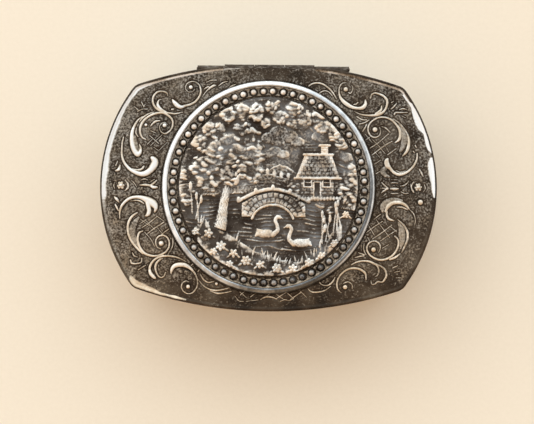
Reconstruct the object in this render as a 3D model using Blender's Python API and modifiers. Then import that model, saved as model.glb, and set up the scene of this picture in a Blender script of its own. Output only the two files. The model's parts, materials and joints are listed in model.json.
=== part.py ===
"""Silver-plated trinket box with a bowed four-sided outline and a hinged, embossed lid.

Units are metres. The box rests on z = 0 with its back, where the hinge is, at +Y.
Plan profiles are pairs of (inset from the lid's edge, height).
"""

import math

import bmesh
import bpy
from mathutils import Matrix, Vector

# Lid outline, seen from above: four bowed sides that meet at soft corners
LID_LENGTH = 0.0760
LID_DEPTH = 0.0560
END_BOW_RADIUS = 0.0380
SIDE_BOW_RADIUS = 0.0927
CORNER_RADIUS = 0.0032
LEAST_CORNER_RADIUS = 0.0012
END_STEPS = 6
CORNER_STEPS = 3
SIDE_STEPS = 6

# Clearances
SEAT_GAP = 0.00015
HINGE_CLEARANCE = 0.00010
CUT_OVERRUN = 0.0010
WELD_DISTANCE = 0.0000005

# Base shell: foot moulding, plain wall and top flange
BASE_HEIGHT = 0.0165
WALL_INSET = 0.0017
WALL_THICKNESS = 0.0009
FOOT_INSET = 0.00045
FOOT_HEIGHT = 0.0013
FOOT_COVE_HEIGHT = 0.0017
FLANGE_INSET = 0.0003
FLANGE_HEIGHT = 0.0011
FLANGE_COVE_HEIGHT = 0.0015
EDGE_SOFTENING = 0.00025
COVE_STEPS = 3
BOTTOM_THICKNESS = 0.0009

# Velvet lining of the base and of the lid
CARD_THICKNESS = 0.0010
LINING_THICKNESS = 0.0007
LINING_TOP_DROP = 0.0006
BASE_PAD_HEIGHT = 0.0022
LID_PAD_HEIGHT = 0.0016
PAD_CROWN_SHARE = 0.35
PAD_SHOULDER_SHARE = 0.90
PAD_OUTLINE_STEPS = 2

# Lid band: skirt, bright rim and the ledge that carries the embossed panel
LID_HEIGHT = 0.0050
SKIRT_THICKNESS = 0.0010
SKIRT_TAPER = 0.00025
SKIRT_TAPER_HEIGHT = 0.0012
RIM_WIDTH = 0.00105
RIM_RISE = 0.00020
RIM_ROUNDING = 0.0009
RIM_STEPS = 4
LEDGE_WIDTH = 0.0010
LEDGE_THICKNESS = 0.00125

# Embossed panel and its scrolls
PANEL_THICKNESS = 0.0009
SCROLL_WIDTH = 0.0010
STROKE_CROWN_SHARE = 0.55
SCROLL_RESOLUTION = 2
EYE_RADIUS = 0.00062
ROSETTE_RADIUS = 0.00125
ROSETTE_PETALS = 6

# Round medallion: bezel, bead ring and picture field
MEDALLION_MARGIN = 0.0040
MEDALLION_RECESS = 0.00030
BEZEL_WIDTH = 0.00110
BEZEL_RISE = 0.0015
BEAD_RING_INSET = 0.0012
BEAD_RADIUS = 0.00072
BEAD_PITCH = 0.002272
BEAD_PHASE = math.radians(3.5)
BEAD_TRACK_RISE = 0.0007
PICTURE_INSET = 0.0016
PICTURE_RISE = 0.0007
GROOVE_WIDTH = 0.0007
GROOVE_DEPTH = 0.0004
RELIEF_HEIGHT = 0.0008
TURNED_STEPS = 64
BEZEL_STEPS = 5

# Raised domes
DOME_STEPS = 8
DOME_RINGS = 6
BEAD_RINGS = 4
CLUMP_STEPS = 10

# Hinge: five interleaved knuckles on one pin, the two outermost of their own lengths
KNUCKLE_COUNT = 5
KNUCKLE_LENGTH = 0.00688
LEFT_KNUCKLE_LENGTH = 0.0062
RIGHT_KNUCKLE_LENGTH = 0.0079
KNUCKLE_RADIUS = 0.00100
END_KNUCKLE_RADIUS = 0.00072
KNUCKLE_END_GAP = 0.00010
PIN_RADIUS = 0.00040
PIN_PROJECTION = 0.00015
HINGE_BLOCK_DEPTH = 0.0024
LEAF_INSET = 0.0019
ROUND_STEPS = 16
LEAF_STEPS = 8

# A primitive is made this size, then scaled to its own
UNIT_SIZE = 1.0
SHARP_ANGLE = math.radians(35)

# Heights and places that follow from the sizes above
LID_BOTTOM = BASE_HEIGHT + SEAT_GAP
LID_TOP = LID_BOTTOM + LID_HEIGHT
FIELD_HEIGHT = LID_TOP - RIM_RISE
PANEL_BOTTOM = FIELD_HEIGHT - PANEL_THICKNESS
LEDGE_TOP = PANEL_BOTTOM - SEAT_GAP
LEDGE_BOTTOM = LEDGE_TOP - LEDGE_THICKNESS
WALL_INNER_INSET = WALL_INSET + WALL_THICKNESS
LEDGE_INNER_INSET = SKIRT_THICKNESS + LEDGE_WIDTH
HINGE_Y = LID_DEPTH / 2 - WALL_INSET + HINGE_CLEARANCE + KNUCKLE_RADIUS
HINGE_Z = BASE_HEIGHT + SEAT_GAP / 2
HINGE_NOTCH_Y = HINGE_Y - KNUCKLE_RADIUS / 2
LEAF_HALF_LENGTH = (KNUCKLE_COUNT - 2) * KNUCKLE_LENGTH / 2
HINGE_LEFT = -LEAF_HALF_LENGTH - LEFT_KNUCKLE_LENGTH
HINGE_RIGHT = LEAF_HALF_LENGTH + RIGHT_KNUCKLE_LENGTH
MEDALLION_SEAT = FIELD_HEIGHT - MEDALLION_RECESS
BEZEL_OUTER_RADIUS = LID_DEPTH / 2 - MEDALLION_MARGIN
BEZEL_INNER_RADIUS = BEZEL_OUTER_RADIUS - BEZEL_WIDTH
PLAQUE_RADIUS = BEZEL_INNER_RADIUS - SEAT_GAP
BEAD_RING_RADIUS = BEZEL_INNER_RADIUS - BEAD_RING_INSET
PICTURE_RADIUS = BEAD_RING_RADIUS - PICTURE_INSET

# Scrolls of one quarter of the panel, as shares of half the lid's length and depth from its
# middle, with each point's width as a share of the scroll width
SCROLL_SHARES = {
    "head": [
        (0.887, 0.291, 0.3),
        (0.880, 0.175, 0.5),
        (0.856, 0.119, 0.7),
        (0.817, 0.086, 1.0),
        (0.776, 0.076, 1.7),
        (0.734, 0.086, 2.4),
        (0.697, 0.120, 2.4),
        (0.676, 0.172, 0.9),
    ],
    "leaf": [
        (0.779, 0.217, 0.4),
        (0.747, 0.269, 1.4),
        (0.825, 0.333, 1.9),
        (0.819, 0.405, 1.9),
        (0.790, 0.490, 1.3),
        (0.745, 0.545, 0.5),
    ],
    "spiral": [
        (0.739, 0.348, 0.4),
        (0.781, 0.405, 0.6),
        (0.775, 0.471, 0.6),
        (0.708, 0.553, 0.6),
        (0.623, 0.535, 0.6),
        (0.588, 0.449, 0.6),
        (0.631, 0.392, 0.5),
        (0.672, 0.442, 0.3),
    ],
    "bracket": [
        (0.549, 0.568, 0.3),
        (0.634, 0.563, 0.6),
        (0.697, 0.626, 0.8),
        (0.709, 0.673, 1.2),
        (0.676, 0.741, 0.5),
    ],
    "inner_bracket": [
        (0.626, 0.579, 0.3),
        (0.670, 0.636, 0.5),
        (0.647, 0.708, 0.5),
        (0.610, 0.698, 0.3),
    ],
    "volute": [
        (0.583, 0.694, 0.4),
        (0.538, 0.614, 1.3),
        (0.498, 0.604, 1.1),
        (0.432, 0.672, 0.7),
        (0.418, 0.734, 0.6),
        (0.447, 0.838, 0.5),
        (0.480, 0.856, 0.5),
        (0.517, 0.795, 0.4),
        (0.500, 0.767, 0.2),
    ],
}
EYE_SHARES = [(0.629, 0.456), (0.462, 0.803)]
END_ROSETTE_SHARE = 0.875

# Landscape of the medallion, as shares of the picture radius: flat-backed forms with a height
# share of the relief height
OUTLINE_SHARES = {
    "bridge": (
        0.55,
        [(-0.28, -0.16), (0.05, -0.06), (0.40, -0.16), (0.40, -0.33), (0.28, -0.33), (0.21, -0.24),
         (0.05, -0.19), (-0.11, -0.24), (-0.17, -0.33), (-0.28, -0.33)],
    ),
    "cottage_wall": (0.60, [(0.36, -0.12), (0.72, -0.12), (0.72, 0.12), (0.36, 0.12)]),
    "cottage_roof": (0.85, [(0.30, 0.10), (0.79, 0.10), (0.70, 0.36), (0.40, 0.36)]),
    "chimney": (0.70, [(0.58, 0.32), (0.66, 0.32), (0.66, 0.46), (0.58, 0.46)]),
}
CLUMP_SHARES = [
    (-0.62, 0.26, 0.21, 1.00),
    (-0.44, 0.44, 0.22, 0.95),
    (-0.22, 0.34, 0.19, 0.90),
    (-0.42, 0.18, 0.20, 1.05),
    (-0.68, 0.04, 0.15, 0.85),
    (-0.27, 0.60, 0.17, 0.80),
    (-0.16, 0.14, 0.12, 0.75),
    (0.84, -0.02, 0.10, 0.70),
    (0.28, 0.02, 0.09, 0.60),
]
TRUNK_SHARES = [(-0.52, -0.52, 0.075), (-0.49, -0.25, 0.055), (-0.45, 0.02, 0.045), (-0.43, 0.22, 0.030)]
SWAN_SHARES = [(-0.02, -0.52, 1.0), (0.36, -0.62, -1.0)]
SWAN_BODY_SHARES = (0.115, 0.055, 0.75)
SWAN_NECK_SHARES = [(0.08, 0.00, 0.026), (0.13, 0.08, 0.022), (0.10, 0.15, 0.020), (0.14, 0.19, 0.024)]
BANK_SHARES = [(-0.62, -0.42), (-0.30, -0.60), (0.00, -0.74), (0.34, -0.80), (0.62, -0.62)]
BANK_HEIGHT_SHARE = 0.45
BANK_EDGE_SHARE = 0.975
BANK_STEPS = 10

# Collections: the pieces, and the shapes that only guide them
PARTS = "trinket_box"
CUTTERS = "cutters"


def clear_scene():
    for obj in list(bpy.data.objects):
        bpy.data.objects.remove(obj, do_unlink=True)
    for collection in list(bpy.data.collections):
        bpy.data.collections.remove(collection)
    for name in (PARTS, CUTTERS):
        bpy.context.scene.collection.children.link(bpy.data.collections.new(name))


def link(obj, collection):
    bpy.data.collections[collection].objects.link(obj)


def material(name, color, metallic, roughness, sheen=0.0):
    made = bpy.data.materials.new(name)
    made.use_nodes = True
    shader = made.node_tree.nodes["Principled BSDF"]
    shader.inputs["Base Color"].default_value = (*color, 1.0)
    shader.inputs["Metallic"].default_value = metallic
    shader.inputs["Roughness"].default_value = roughness
    shader.inputs["Sheen Weight"].default_value = sheen
    made.diffuse_color = (*color, 1.0)
    return made


def add_object(name, mesh, collection=PARTS, finish=None):
    obj = bpy.data.objects.new(name, mesh)
    link(obj, collection)
    if finish is not None:
        mesh.materials.clear()
        mesh.materials.append(finish)
    if collection == CUTTERS:
        obj.hide_render = True
        obj.display_type = "WIRE"
    return obj


def mesh_of_curve(obj):
    """The curve's closed surface as a mesh in world space; the curve goes."""
    graph = bpy.context.evaluated_depsgraph_get()
    mesh = bpy.data.meshes.new_from_object(obj.evaluated_get(graph))
    mesh.transform(obj.matrix_world)
    bpy.data.objects.remove(obj, do_unlink=True)
    shape = bmesh.new()
    shape.from_mesh(mesh)
    bmesh.ops.remove_doubles(shape, verts=shape.verts, dist=WELD_DISTANCE)
    bmesh.ops.recalc_face_normals(shape, faces=shape.faces)
    shape.to_mesh(mesh)
    shape.free()
    return mesh


def poly_spline(curve, points):
    spline = curve.splines.new("POLY")
    spline.points.add(len(points) - 1)
    for target, point in zip(spline.points, points):
        target.co = (point[0], point[1], 0.0, 1.0)
    spline.use_cyclic_u = True
    return spline


def plate_mesh(name, loops, bottom, top):
    """A flat solid between two heights, from an outline and any openings in it."""
    curve = bpy.data.curves.new(name, "CURVE")
    curve.dimensions = "2D"
    curve.fill_mode = "BOTH"
    curve.extrude = (top - bottom) / 2
    for loop in loops:
        poly_spline(curve, loop)
    obj = bpy.data.objects.new(name, curve)
    link(obj, CUTTERS)
    obj.location.z = (top + bottom) / 2
    bpy.context.view_layer.update()
    return mesh_of_curve(obj)


def swept_mesh(name, profile):
    """A profile of (inset, height) carried round the lid's outline."""
    section = bpy.data.curves.new(name + "_section", "CURVE")
    section.dimensions = "2D"
    poly_spline(section, profile)
    section_obj = bpy.data.objects.new(name + "_section", section)
    link(section_obj, CUTTERS)
    path = bpy.data.curves.new(name, "CURVE")
    path.dimensions = "2D"
    path.fill_mode = "NONE"
    path.bevel_mode = "OBJECT"
    path.bevel_object = section_obj
    poly_spline(path, outline(0.0))
    path_obj = bpy.data.objects.new(name, path)
    link(path_obj, CUTTERS)
    bpy.context.view_layer.update()
    mesh = mesh_of_curve(path_obj)
    bpy.data.objects.remove(section_obj, do_unlink=True)
    return mesh


def turned_object(name, profile, finish, closed):
    """A profile of (radius, height), outer side top to bottom, turned about the Z axis."""
    mesh = bpy.data.meshes.new(name)
    edges = [(index, index + 1) for index in range(len(profile) - 1)]
    if closed:
        edges.append((len(profile) - 1, 0))
    mesh.from_pydata([(radius, 0.0, height) for radius, height in profile], edges, [])
    obj = add_object(name, mesh, finish=finish)
    screw = obj.modifiers.new("turn", "SCREW")
    screw.axis = "Z"
    screw.steps = TURNED_STEPS
    screw.render_steps = TURNED_STEPS
    screw.use_merge_vertices = True
    screw.merge_threshold = WELD_DISTANCE
    return obj


def rod_mesh(name, radius, start, end):
    """A round rod on the hinge axis, from one place along X to another."""
    shape = bmesh.new()
    middle = Matrix.Translation(((start + end) / 2, HINGE_Y, HINGE_Z))
    placed = middle @ Matrix.Rotation(math.pi / 2, 4, "Y")
    bmesh.ops.create_cone(
        shape, cap_ends=True, segments=ROUND_STEPS, radius1=radius, radius2=radius,
        depth=end - start, matrix=placed,
    )
    mesh = bpy.data.meshes.new(name)
    shape.to_mesh(mesh)
    shape.free()
    return mesh


def block_mesh(name, low, high):
    """A box between two corners."""
    shape = bmesh.new()
    size = Vector(high) - Vector(low)
    middle = (Vector(high) + Vector(low)) / 2
    placed = Matrix.Translation(middle) @ Matrix.Diagonal((*size, 1.0))
    bmesh.ops.create_cube(shape, size=UNIT_SIZE, matrix=placed)
    mesh = bpy.data.meshes.new(name)
    shape.to_mesh(mesh)
    shape.free()
    return mesh


def dome_mesh(name, domes, segments, rings, back):
    """Ellipsoids, each given by its centre and its three radii, cut flat at a lowest height."""
    shape = bmesh.new()
    for centre, radii in domes:
        placed = Matrix.Translation(centre) @ Matrix.Diagonal((*radii, 1.0))
        bmesh.ops.create_uvsphere(
            shape, u_segments=segments, v_segments=rings, radius=UNIT_SIZE, matrix=placed
        )
    flatten_below(shape.verts, back)
    mesh = bpy.data.meshes.new(name)
    shape.to_mesh(mesh)
    shape.free()
    return mesh


def flatten_below(vertices, back):
    for vertex in vertices:
        vertex.co.z = max(vertex.co.z, back)


def combine(obj, operation, other):
    """Adds, cuts or trims with another object, which only guides the shape."""
    boolean = obj.modifiers.new(operation.lower() + "_" + other.name, "BOOLEAN")
    boolean.operation = operation
    boolean.solver = "EXACT"
    boolean.object = other
    return boolean


def guide(name, mesh):
    return add_object(name, mesh, collection=CUTTERS)


def shade_round(obj):
    obj.data.shade_smooth()
    obj.data.set_sharp_from_angle(angle=SHARP_ANGLE)


def outline(inset, end_steps=END_STEPS, corner_steps=CORNER_STEPS, side_steps=SIDE_STEPS):
    """The four-bowed outline this far inside the lid's edge, anticlockwise from +X."""
    end_centre = LID_LENGTH / 2 - END_BOW_RADIUS
    side_centre = LID_DEPTH / 2 - SIDE_BOW_RADIUS
    corner_radius = max(CORNER_RADIUS - inset, LEAST_CORNER_RADIUS)
    corner = circle_crossing(
        Vector((end_centre, 0.0)), END_BOW_RADIUS - inset - corner_radius,
        Vector((0.0, side_centre)), SIDE_BOW_RADIUS - inset - corner_radius,
    )
    end_angle = math.atan2(corner.y, corner.x - end_centre)
    side_angle = math.atan2(corner.y - side_centre, corner.x)
    arcs = (
        (Vector((end_centre, 0.0)), END_BOW_RADIUS - inset, 0.0, end_angle, end_steps),
        (corner, corner_radius, end_angle, side_angle, corner_steps),
        (Vector((0.0, side_centre)), SIDE_BOW_RADIUS - inset, side_angle, math.pi / 2, side_steps),
    )
    quarter = []
    for centre, radius, start, end, steps in arcs:
        for step in range(steps):
            angle = start + (end - start) * step / steps
            quarter.append((centre.x + radius * math.cos(angle), centre.y + radius * math.sin(angle)))
    quarter.append((0.0, LID_DEPTH / 2 - inset))
    left = [(-x, y) for x, y in reversed(quarter[:-1])]
    back = quarter + left
    return back + [(x, -y) for x, y in reversed(back[1:-1])]


def circle_crossing(first, first_radius, second, second_radius):
    """Where two circles cross in the quarter with both coordinates positive."""
    between = second - first
    distance = between.length
    along = (first_radius**2 - second_radius**2 + distance**2) / (2 * distance)
    across = math.sqrt(first_radius**2 - along**2)
    direction = between / distance
    normal = Vector((-direction.y, direction.x))
    return first + direction * along + normal * across


def back_edge(inset, x):
    """How far back the outline reaches at this x."""
    radius = SIDE_BOW_RADIUS - inset
    return LID_DEPTH / 2 - SIDE_BOW_RADIUS + math.sqrt(radius**2 - x**2)


def bowed_plate_loop(inset, back, start, end):
    """A plan outline with a straight back and a front that follows the bowed side."""
    xs = [start + (end - start) * step / LEAF_STEPS for step in range(LEAF_STEPS + 1)]
    return [(x, back_edge(inset, x)) for x in xs] + [(end, back), (start, back)]


def cove(corner_inset, from_height, wall_inset, to_height):
    """A hollow quarter curve from a moulding's edge to the wall."""
    points = []
    for step in range(COVE_STEPS + 1):
        angle = math.pi / 2 * step / COVE_STEPS
        inset = corner_inset + (wall_inset - corner_inset) * math.sin(angle)
        points.append((inset, to_height - (to_height - from_height) * math.cos(angle)))
    return points


def make_base_wall(finish):
    flange_low = BASE_HEIGHT - FLANGE_HEIGHT
    cove_low = flange_low - FLANGE_COVE_HEIGHT
    profile = [(FOOT_INSET + EDGE_SOFTENING, 0.0), (FOOT_INSET, EDGE_SOFTENING)]
    profile += cove(FOOT_INSET, FOOT_HEIGHT, WALL_INSET, FOOT_HEIGHT + FOOT_COVE_HEIGHT)
    profile += reversed(cove(FLANGE_INSET, flange_low, WALL_INSET, cove_low))
    profile += [
        (FLANGE_INSET, BASE_HEIGHT - EDGE_SOFTENING),
        (FLANGE_INSET + EDGE_SOFTENING, BASE_HEIGHT),
        (WALL_INNER_INSET, BASE_HEIGHT),
        (WALL_INNER_INSET, 0.0),
    ]
    wall = add_object("base_wall", swept_mesh("base_wall", profile), finish=finish)
    front = WALL_INSET - SEAT_GAP / 2
    beyond = LID_DEPTH / 2 + CUT_OVERRUN
    seat = bowed_plate_loop(front, beyond, HINGE_LEFT - SEAT_GAP, HINGE_RIGHT + SEAT_GAP)
    notch = plate_mesh("flange_notch", [seat], cove_low - SEAT_GAP, BASE_HEIGHT + CUT_OVERRUN)
    combine(wall, "DIFFERENCE", guide("flange_notch", notch))
    shade_round(wall)
    return wall


def make_base_bottom(finish):
    loop = outline(WALL_INNER_INSET + SEAT_GAP)
    plate = plate_mesh("base_bottom", [loop], 0.0, BOTTOM_THICKNESS)
    return add_object("base_bottom", plate, finish=finish)


def make_base_lining(velvet, card):
    """The velvet strip round the wall, then the card and the pad that drop in inside it."""
    strip_bottom = BOTTOM_THICKNESS + SEAT_GAP
    strip_inset = WALL_INNER_INSET + SEAT_GAP
    inner_inset = strip_inset + LINING_THICKNESS
    strip = plate_mesh(
        "base_lining_wall", [outline(strip_inset), outline(inner_inset)],
        strip_bottom, BASE_HEIGHT - LINING_TOP_DROP,
    )
    add_object("base_lining_wall", strip, finish=velvet)
    card_top = strip_bottom + CARD_THICKNESS
    floor_inset = inner_inset + SEAT_GAP
    floor = plate_mesh("base_lining_card", [outline(floor_inset)], strip_bottom, card_top)
    add_object("base_lining_card", floor, finish=card)
    make_pad("base_lining_pad", floor_inset, card_top + SEAT_GAP, BASE_PAD_HEIGHT, velvet)


def make_pad(name, inset, seat, height, finish):
    """A crowned cushion from a coarse cage; a negative height hangs it under its seat."""
    shape = bmesh.new()
    cage = outline(inset, PAD_OUTLINE_STEPS, PAD_OUTLINE_STEPS, PAD_OUTLINE_STEPS)
    shoulder = height * (1 - PAD_CROWN_SHARE)
    lower = shape.faces.new([shape.verts.new((x, y, seat)) for x, y in cage])
    grown = bmesh.ops.extrude_face_region(shape, geom=[lower])
    raised = [part for part in grown["geom"] if isinstance(part, bmesh.types.BMVert)]
    bmesh.ops.translate(shape, verts=raised, vec=(0.0, 0.0, shoulder))
    top = next(part for part in grown["geom"] if isinstance(part, bmesh.types.BMFace))
    bmesh.ops.inset_region(shape, faces=[top], thickness=abs(height), use_even_offset=True)
    bmesh.ops.translate(shape, verts=top.verts, vec=(0.0, 0.0, (height - shoulder) / 2))
    crown = bmesh.ops.extrude_face_region(shape, geom=[top])
    centre = [part for part in crown["geom"] if isinstance(part, bmesh.types.BMVert)]
    bmesh.ops.delete(shape, geom=[top], context="FACES_ONLY")
    bmesh.ops.scale(
        shape, verts=centre, vec=(1 - PAD_SHOULDER_SHARE / 2, 1 - PAD_SHOULDER_SHARE / 2, 1.0)
    )
    bmesh.ops.translate(shape, verts=centre, vec=(0.0, 0.0, (height - shoulder) / 2))
    bmesh.ops.recalc_face_normals(shape, faces=shape.faces)
    mesh = bpy.data.meshes.new(name)
    shape.to_mesh(mesh)
    shape.free()
    pad = add_object(name, mesh, finish=finish)
    soften = pad.modifiers.new("soften", "SUBSURF")
    soften.levels = 1
    soften.render_levels = 1
    shade_round(pad)
    return pad


def make_lid_band(finish):
    profile = [
        (SKIRT_TAPER, LID_BOTTOM),
        (0.0, LID_BOTTOM + SKIRT_TAPER_HEIGHT),
    ]
    for step in range(RIM_STEPS + 1):
        angle = math.pi / 2 * step / RIM_STEPS
        inset = RIM_WIDTH / 2 * (1 - math.cos(angle))
        profile.append((inset, LID_TOP - RIM_ROUNDING * (1 - math.sin(angle))))
    profile += [
        (RIM_WIDTH * 3 / 4, LID_TOP - RIM_RISE / 4),
        (RIM_WIDTH, FIELD_HEIGHT),
        (RIM_WIDTH, LEDGE_TOP),
        (LEDGE_INNER_INSET, LEDGE_TOP),
        (LEDGE_INNER_INSET, LEDGE_BOTTOM),
        (SKIRT_THICKNESS, LEDGE_BOTTOM),
        (SKIRT_THICKNESS, LID_BOTTOM),
    ]
    band = add_object("lid_band", swept_mesh("lid_band", profile), finish=finish)
    pocket = LEAF_HALF_LENGTH + SEAT_GAP
    beyond = LID_DEPTH / 2 + CUT_OVERRUN
    below = LID_BOTTOM - CUT_OVERRUN
    rim_cut = block_mesh(
        "rim_cut", (-pocket, HINGE_NOTCH_Y, below), (pocket, beyond, LID_TOP + CUT_OVERRUN)
    )
    combine(band, "DIFFERENCE", guide("rim_cut", rim_cut))
    leaf_front = back_edge(LEDGE_INNER_INSET, pocket) - CUT_OVERRUN
    leaf_cut = block_mesh(
        "leaf_cut", (-pocket, leaf_front, below), (pocket, beyond, LEDGE_BOTTOM - SEAT_GAP / 2)
    )
    combine(band, "DIFFERENCE", guide("leaf_cut", leaf_cut))
    barrel_room = END_KNUCKLE_RADIUS + HINGE_CLEARANCE
    barrel_cut = block_mesh(
        "barrel_cut", (HINGE_LEFT - SEAT_GAP, HINGE_Y - barrel_room, below),
        (HINGE_RIGHT + SEAT_GAP, beyond, HINGE_Z + barrel_room),
    )
    combine(band, "DIFFERENCE", guide("barrel_cut", barrel_cut))
    shade_round(band)
    return band


def scroll_mesh(name, points, ground, back):
    """A tapering raised stroke through points of (x, y, half width), crowned above its ground."""
    curve = bpy.data.curves.new(name, "CURVE")
    curve.dimensions = "3D"
    curve.fill_mode = "FULL"
    curve.resolution_u = SCROLL_RESOLUTION
    curve.bevel_depth = UNIT_SIZE
    curve.bevel_resolution = 2
    curve.use_fill_caps = True
    spline = curve.splines.new("BEZIER")
    spline.bezier_points.add(len(points) - 1)
    for target, (x, y, radius) in zip(spline.bezier_points, points):
        target.co = (x, y, 0.0)
        target.radius = radius
        target.handle_left_type = "AUTO"
        target.handle_right_type = "AUTO"
    obj = bpy.data.objects.new(name, curve)
    link(obj, CUTTERS)
    bpy.context.view_layer.update()
    mesh = mesh_of_curve(obj)
    mesh.transform(Matrix.Diagonal((1.0, 1.0, STROKE_CROWN_SHARE, 1.0)))
    mesh.transform(Matrix.Translation((0.0, 0.0, ground)))
    flatten_below(mesh.vertices, back)
    return mesh


def make_lid_panel(finish):
    """The embossed plate: one quarter's scrolls raised on a blank, mirrored, then trimmed."""
    panel_inset = RIM_WIDTH + SEAT_GAP
    blank = plate_mesh("lid_panel", [outline(panel_inset - SEAT_GAP / 2)], PANEL_BOTTOM, FIELD_HEIGHT)
    panel = add_object("lid_panel", blank, finish=finish)
    half_length = LID_LENGTH / 2
    half_depth = LID_DEPTH / 2
    back = FIELD_HEIGHT - PANEL_THICKNESS / 2
    for name, shares in SCROLL_SHARES.items():
        points = [(x * half_length, y * half_depth, w * SCROLL_WIDTH / 2) for x, y, w in shares]
        mesh = scroll_mesh("scroll_" + name, points, FIELD_HEIGHT, back)
        combine(panel, "UNION", guide("scroll_" + name, mesh))
    eyes = []
    for x, y in EYE_SHARES:
        centre = (x * half_length, y * half_depth, FIELD_HEIGHT)
        eyes.append((centre, (EYE_RADIUS, EYE_RADIUS, EYE_RADIUS)))
    raised = dome_mesh("scroll_eyes", eyes, DOME_STEPS, DOME_RINGS, back)
    combine(panel, "UNION", guide("scroll_eyes", raised))
    mirror = panel.modifiers.new("four_quarters", "MIRROR")
    mirror.use_axis = (True, True, False)
    mirror.use_bisect_axis = (True, True, False)
    mirror.merge_threshold = WELD_DISTANCE
    rosette_x = END_ROSETTE_SHARE * half_length
    for index, dome in enumerate(rosette_domes(-rosette_x) + rosette_domes(rosette_x)):
        raised = dome_mesh("rosette", [dome], DOME_STEPS, DOME_RINGS, back)
        combine(panel, "UNION", guide(f"rosette_{index}", raised))
    seat = cylinder_mesh(
        "medallion_seat", BEZEL_OUTER_RADIUS + SEAT_GAP, MEDALLION_SEAT, LID_TOP + BEZEL_RISE
    )
    combine(panel, "DIFFERENCE", guide("medallion_seat", seat))
    trim = plate_mesh(
        "panel_trim", [outline(panel_inset)], PANEL_BOTTOM - CUT_OVERRUN, LID_TOP + CUT_OVERRUN
    )
    combine(panel, "INTERSECT", guide("panel_trim", trim))
    shade_round(panel)
    return panel


def rosette_domes(x):
    """Round petals about a centre boss."""
    petal = ROSETTE_RADIUS / 2
    domes = [((x, 0.0, FIELD_HEIGHT), (petal, petal, petal * 4 / 3))]
    for index in range(ROSETTE_PETALS):
        angle = 2 * math.pi * (index + 1 / 2) / ROSETTE_PETALS
        centre = (x + ROSETTE_RADIUS * math.cos(angle), ROSETTE_RADIUS * math.sin(angle), FIELD_HEIGHT)
        domes.append((centre, (petal, petal, petal)))
    return domes


def cylinder_mesh(name, radius, bottom, top):
    shape = bmesh.new()
    bmesh.ops.create_cone(
        shape, cap_ends=True, segments=TURNED_STEPS, radius1=radius, radius2=radius,
        depth=top - bottom, matrix=Matrix.Translation((0.0, 0.0, (top + bottom) / 2)),
    )
    mesh = bpy.data.meshes.new(name)
    shape.to_mesh(mesh)
    shape.free()
    return mesh


def make_medallion_bezel(finish):
    seat = MEDALLION_SEAT + SEAT_GAP
    top = FIELD_HEIGHT + BEZEL_RISE
    middle = BEZEL_OUTER_RADIUS - BEZEL_WIDTH / 2
    crown = BEZEL_WIDTH / 2
    profile = [(BEZEL_INNER_RADIUS, seat)]
    profile += [
        (middle - crown * math.cos(angle), top - crown + crown * math.sin(angle))
        for angle in [math.pi * step / BEZEL_STEPS for step in range(BEZEL_STEPS + 1)]
    ]
    profile += [(BEZEL_OUTER_RADIUS, seat)]
    bezel = turned_object("medallion_bezel", profile, finish, closed=True)
    shade_round(bezel)
    return bezel


def make_medallion_plaque(finish):
    """The disc that carries the bead ring and the landscape."""
    seat = MEDALLION_SEAT + SEAT_GAP
    picture = FIELD_HEIGHT + PICTURE_RISE
    groove = picture - GROOVE_DEPTH
    track = FIELD_HEIGHT + BEAD_TRACK_RISE
    profile = [
        (0.0, picture),
        (PICTURE_RADIUS, picture),
        (PICTURE_RADIUS + GROOVE_DEPTH / 2, groove),
        (PICTURE_RADIUS + GROOVE_WIDTH, groove),
        (PICTURE_RADIUS + GROOVE_WIDTH + GROOVE_DEPTH / 2, track),
        (PLAQUE_RADIUS, track),
        (PLAQUE_RADIUS, seat),
        (0.0, seat),
    ]
    plaque = turned_object("medallion_plaque", profile, finish, closed=False)
    count = round(2 * math.pi * BEAD_RING_RADIUS / BEAD_PITCH)
    bead_back = (track + seat) / 2
    beads = []
    for index in range(count):
        angle = BEAD_PHASE + 2 * math.pi * index / count
        centre = (BEAD_RING_RADIUS * math.cos(angle), BEAD_RING_RADIUS * math.sin(angle), track)
        beads.append((centre, (BEAD_RADIUS, BEAD_RADIUS, BEAD_RADIUS)))
    bead_ring = dome_mesh("bead_ring", beads, DOME_STEPS, BEAD_RINGS, bead_back)
    combine(plaque, "UNION", guide("bead_ring", bead_ring))
    add_landscape(plaque, picture)
    shade_round(plaque)
    return plaque


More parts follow.
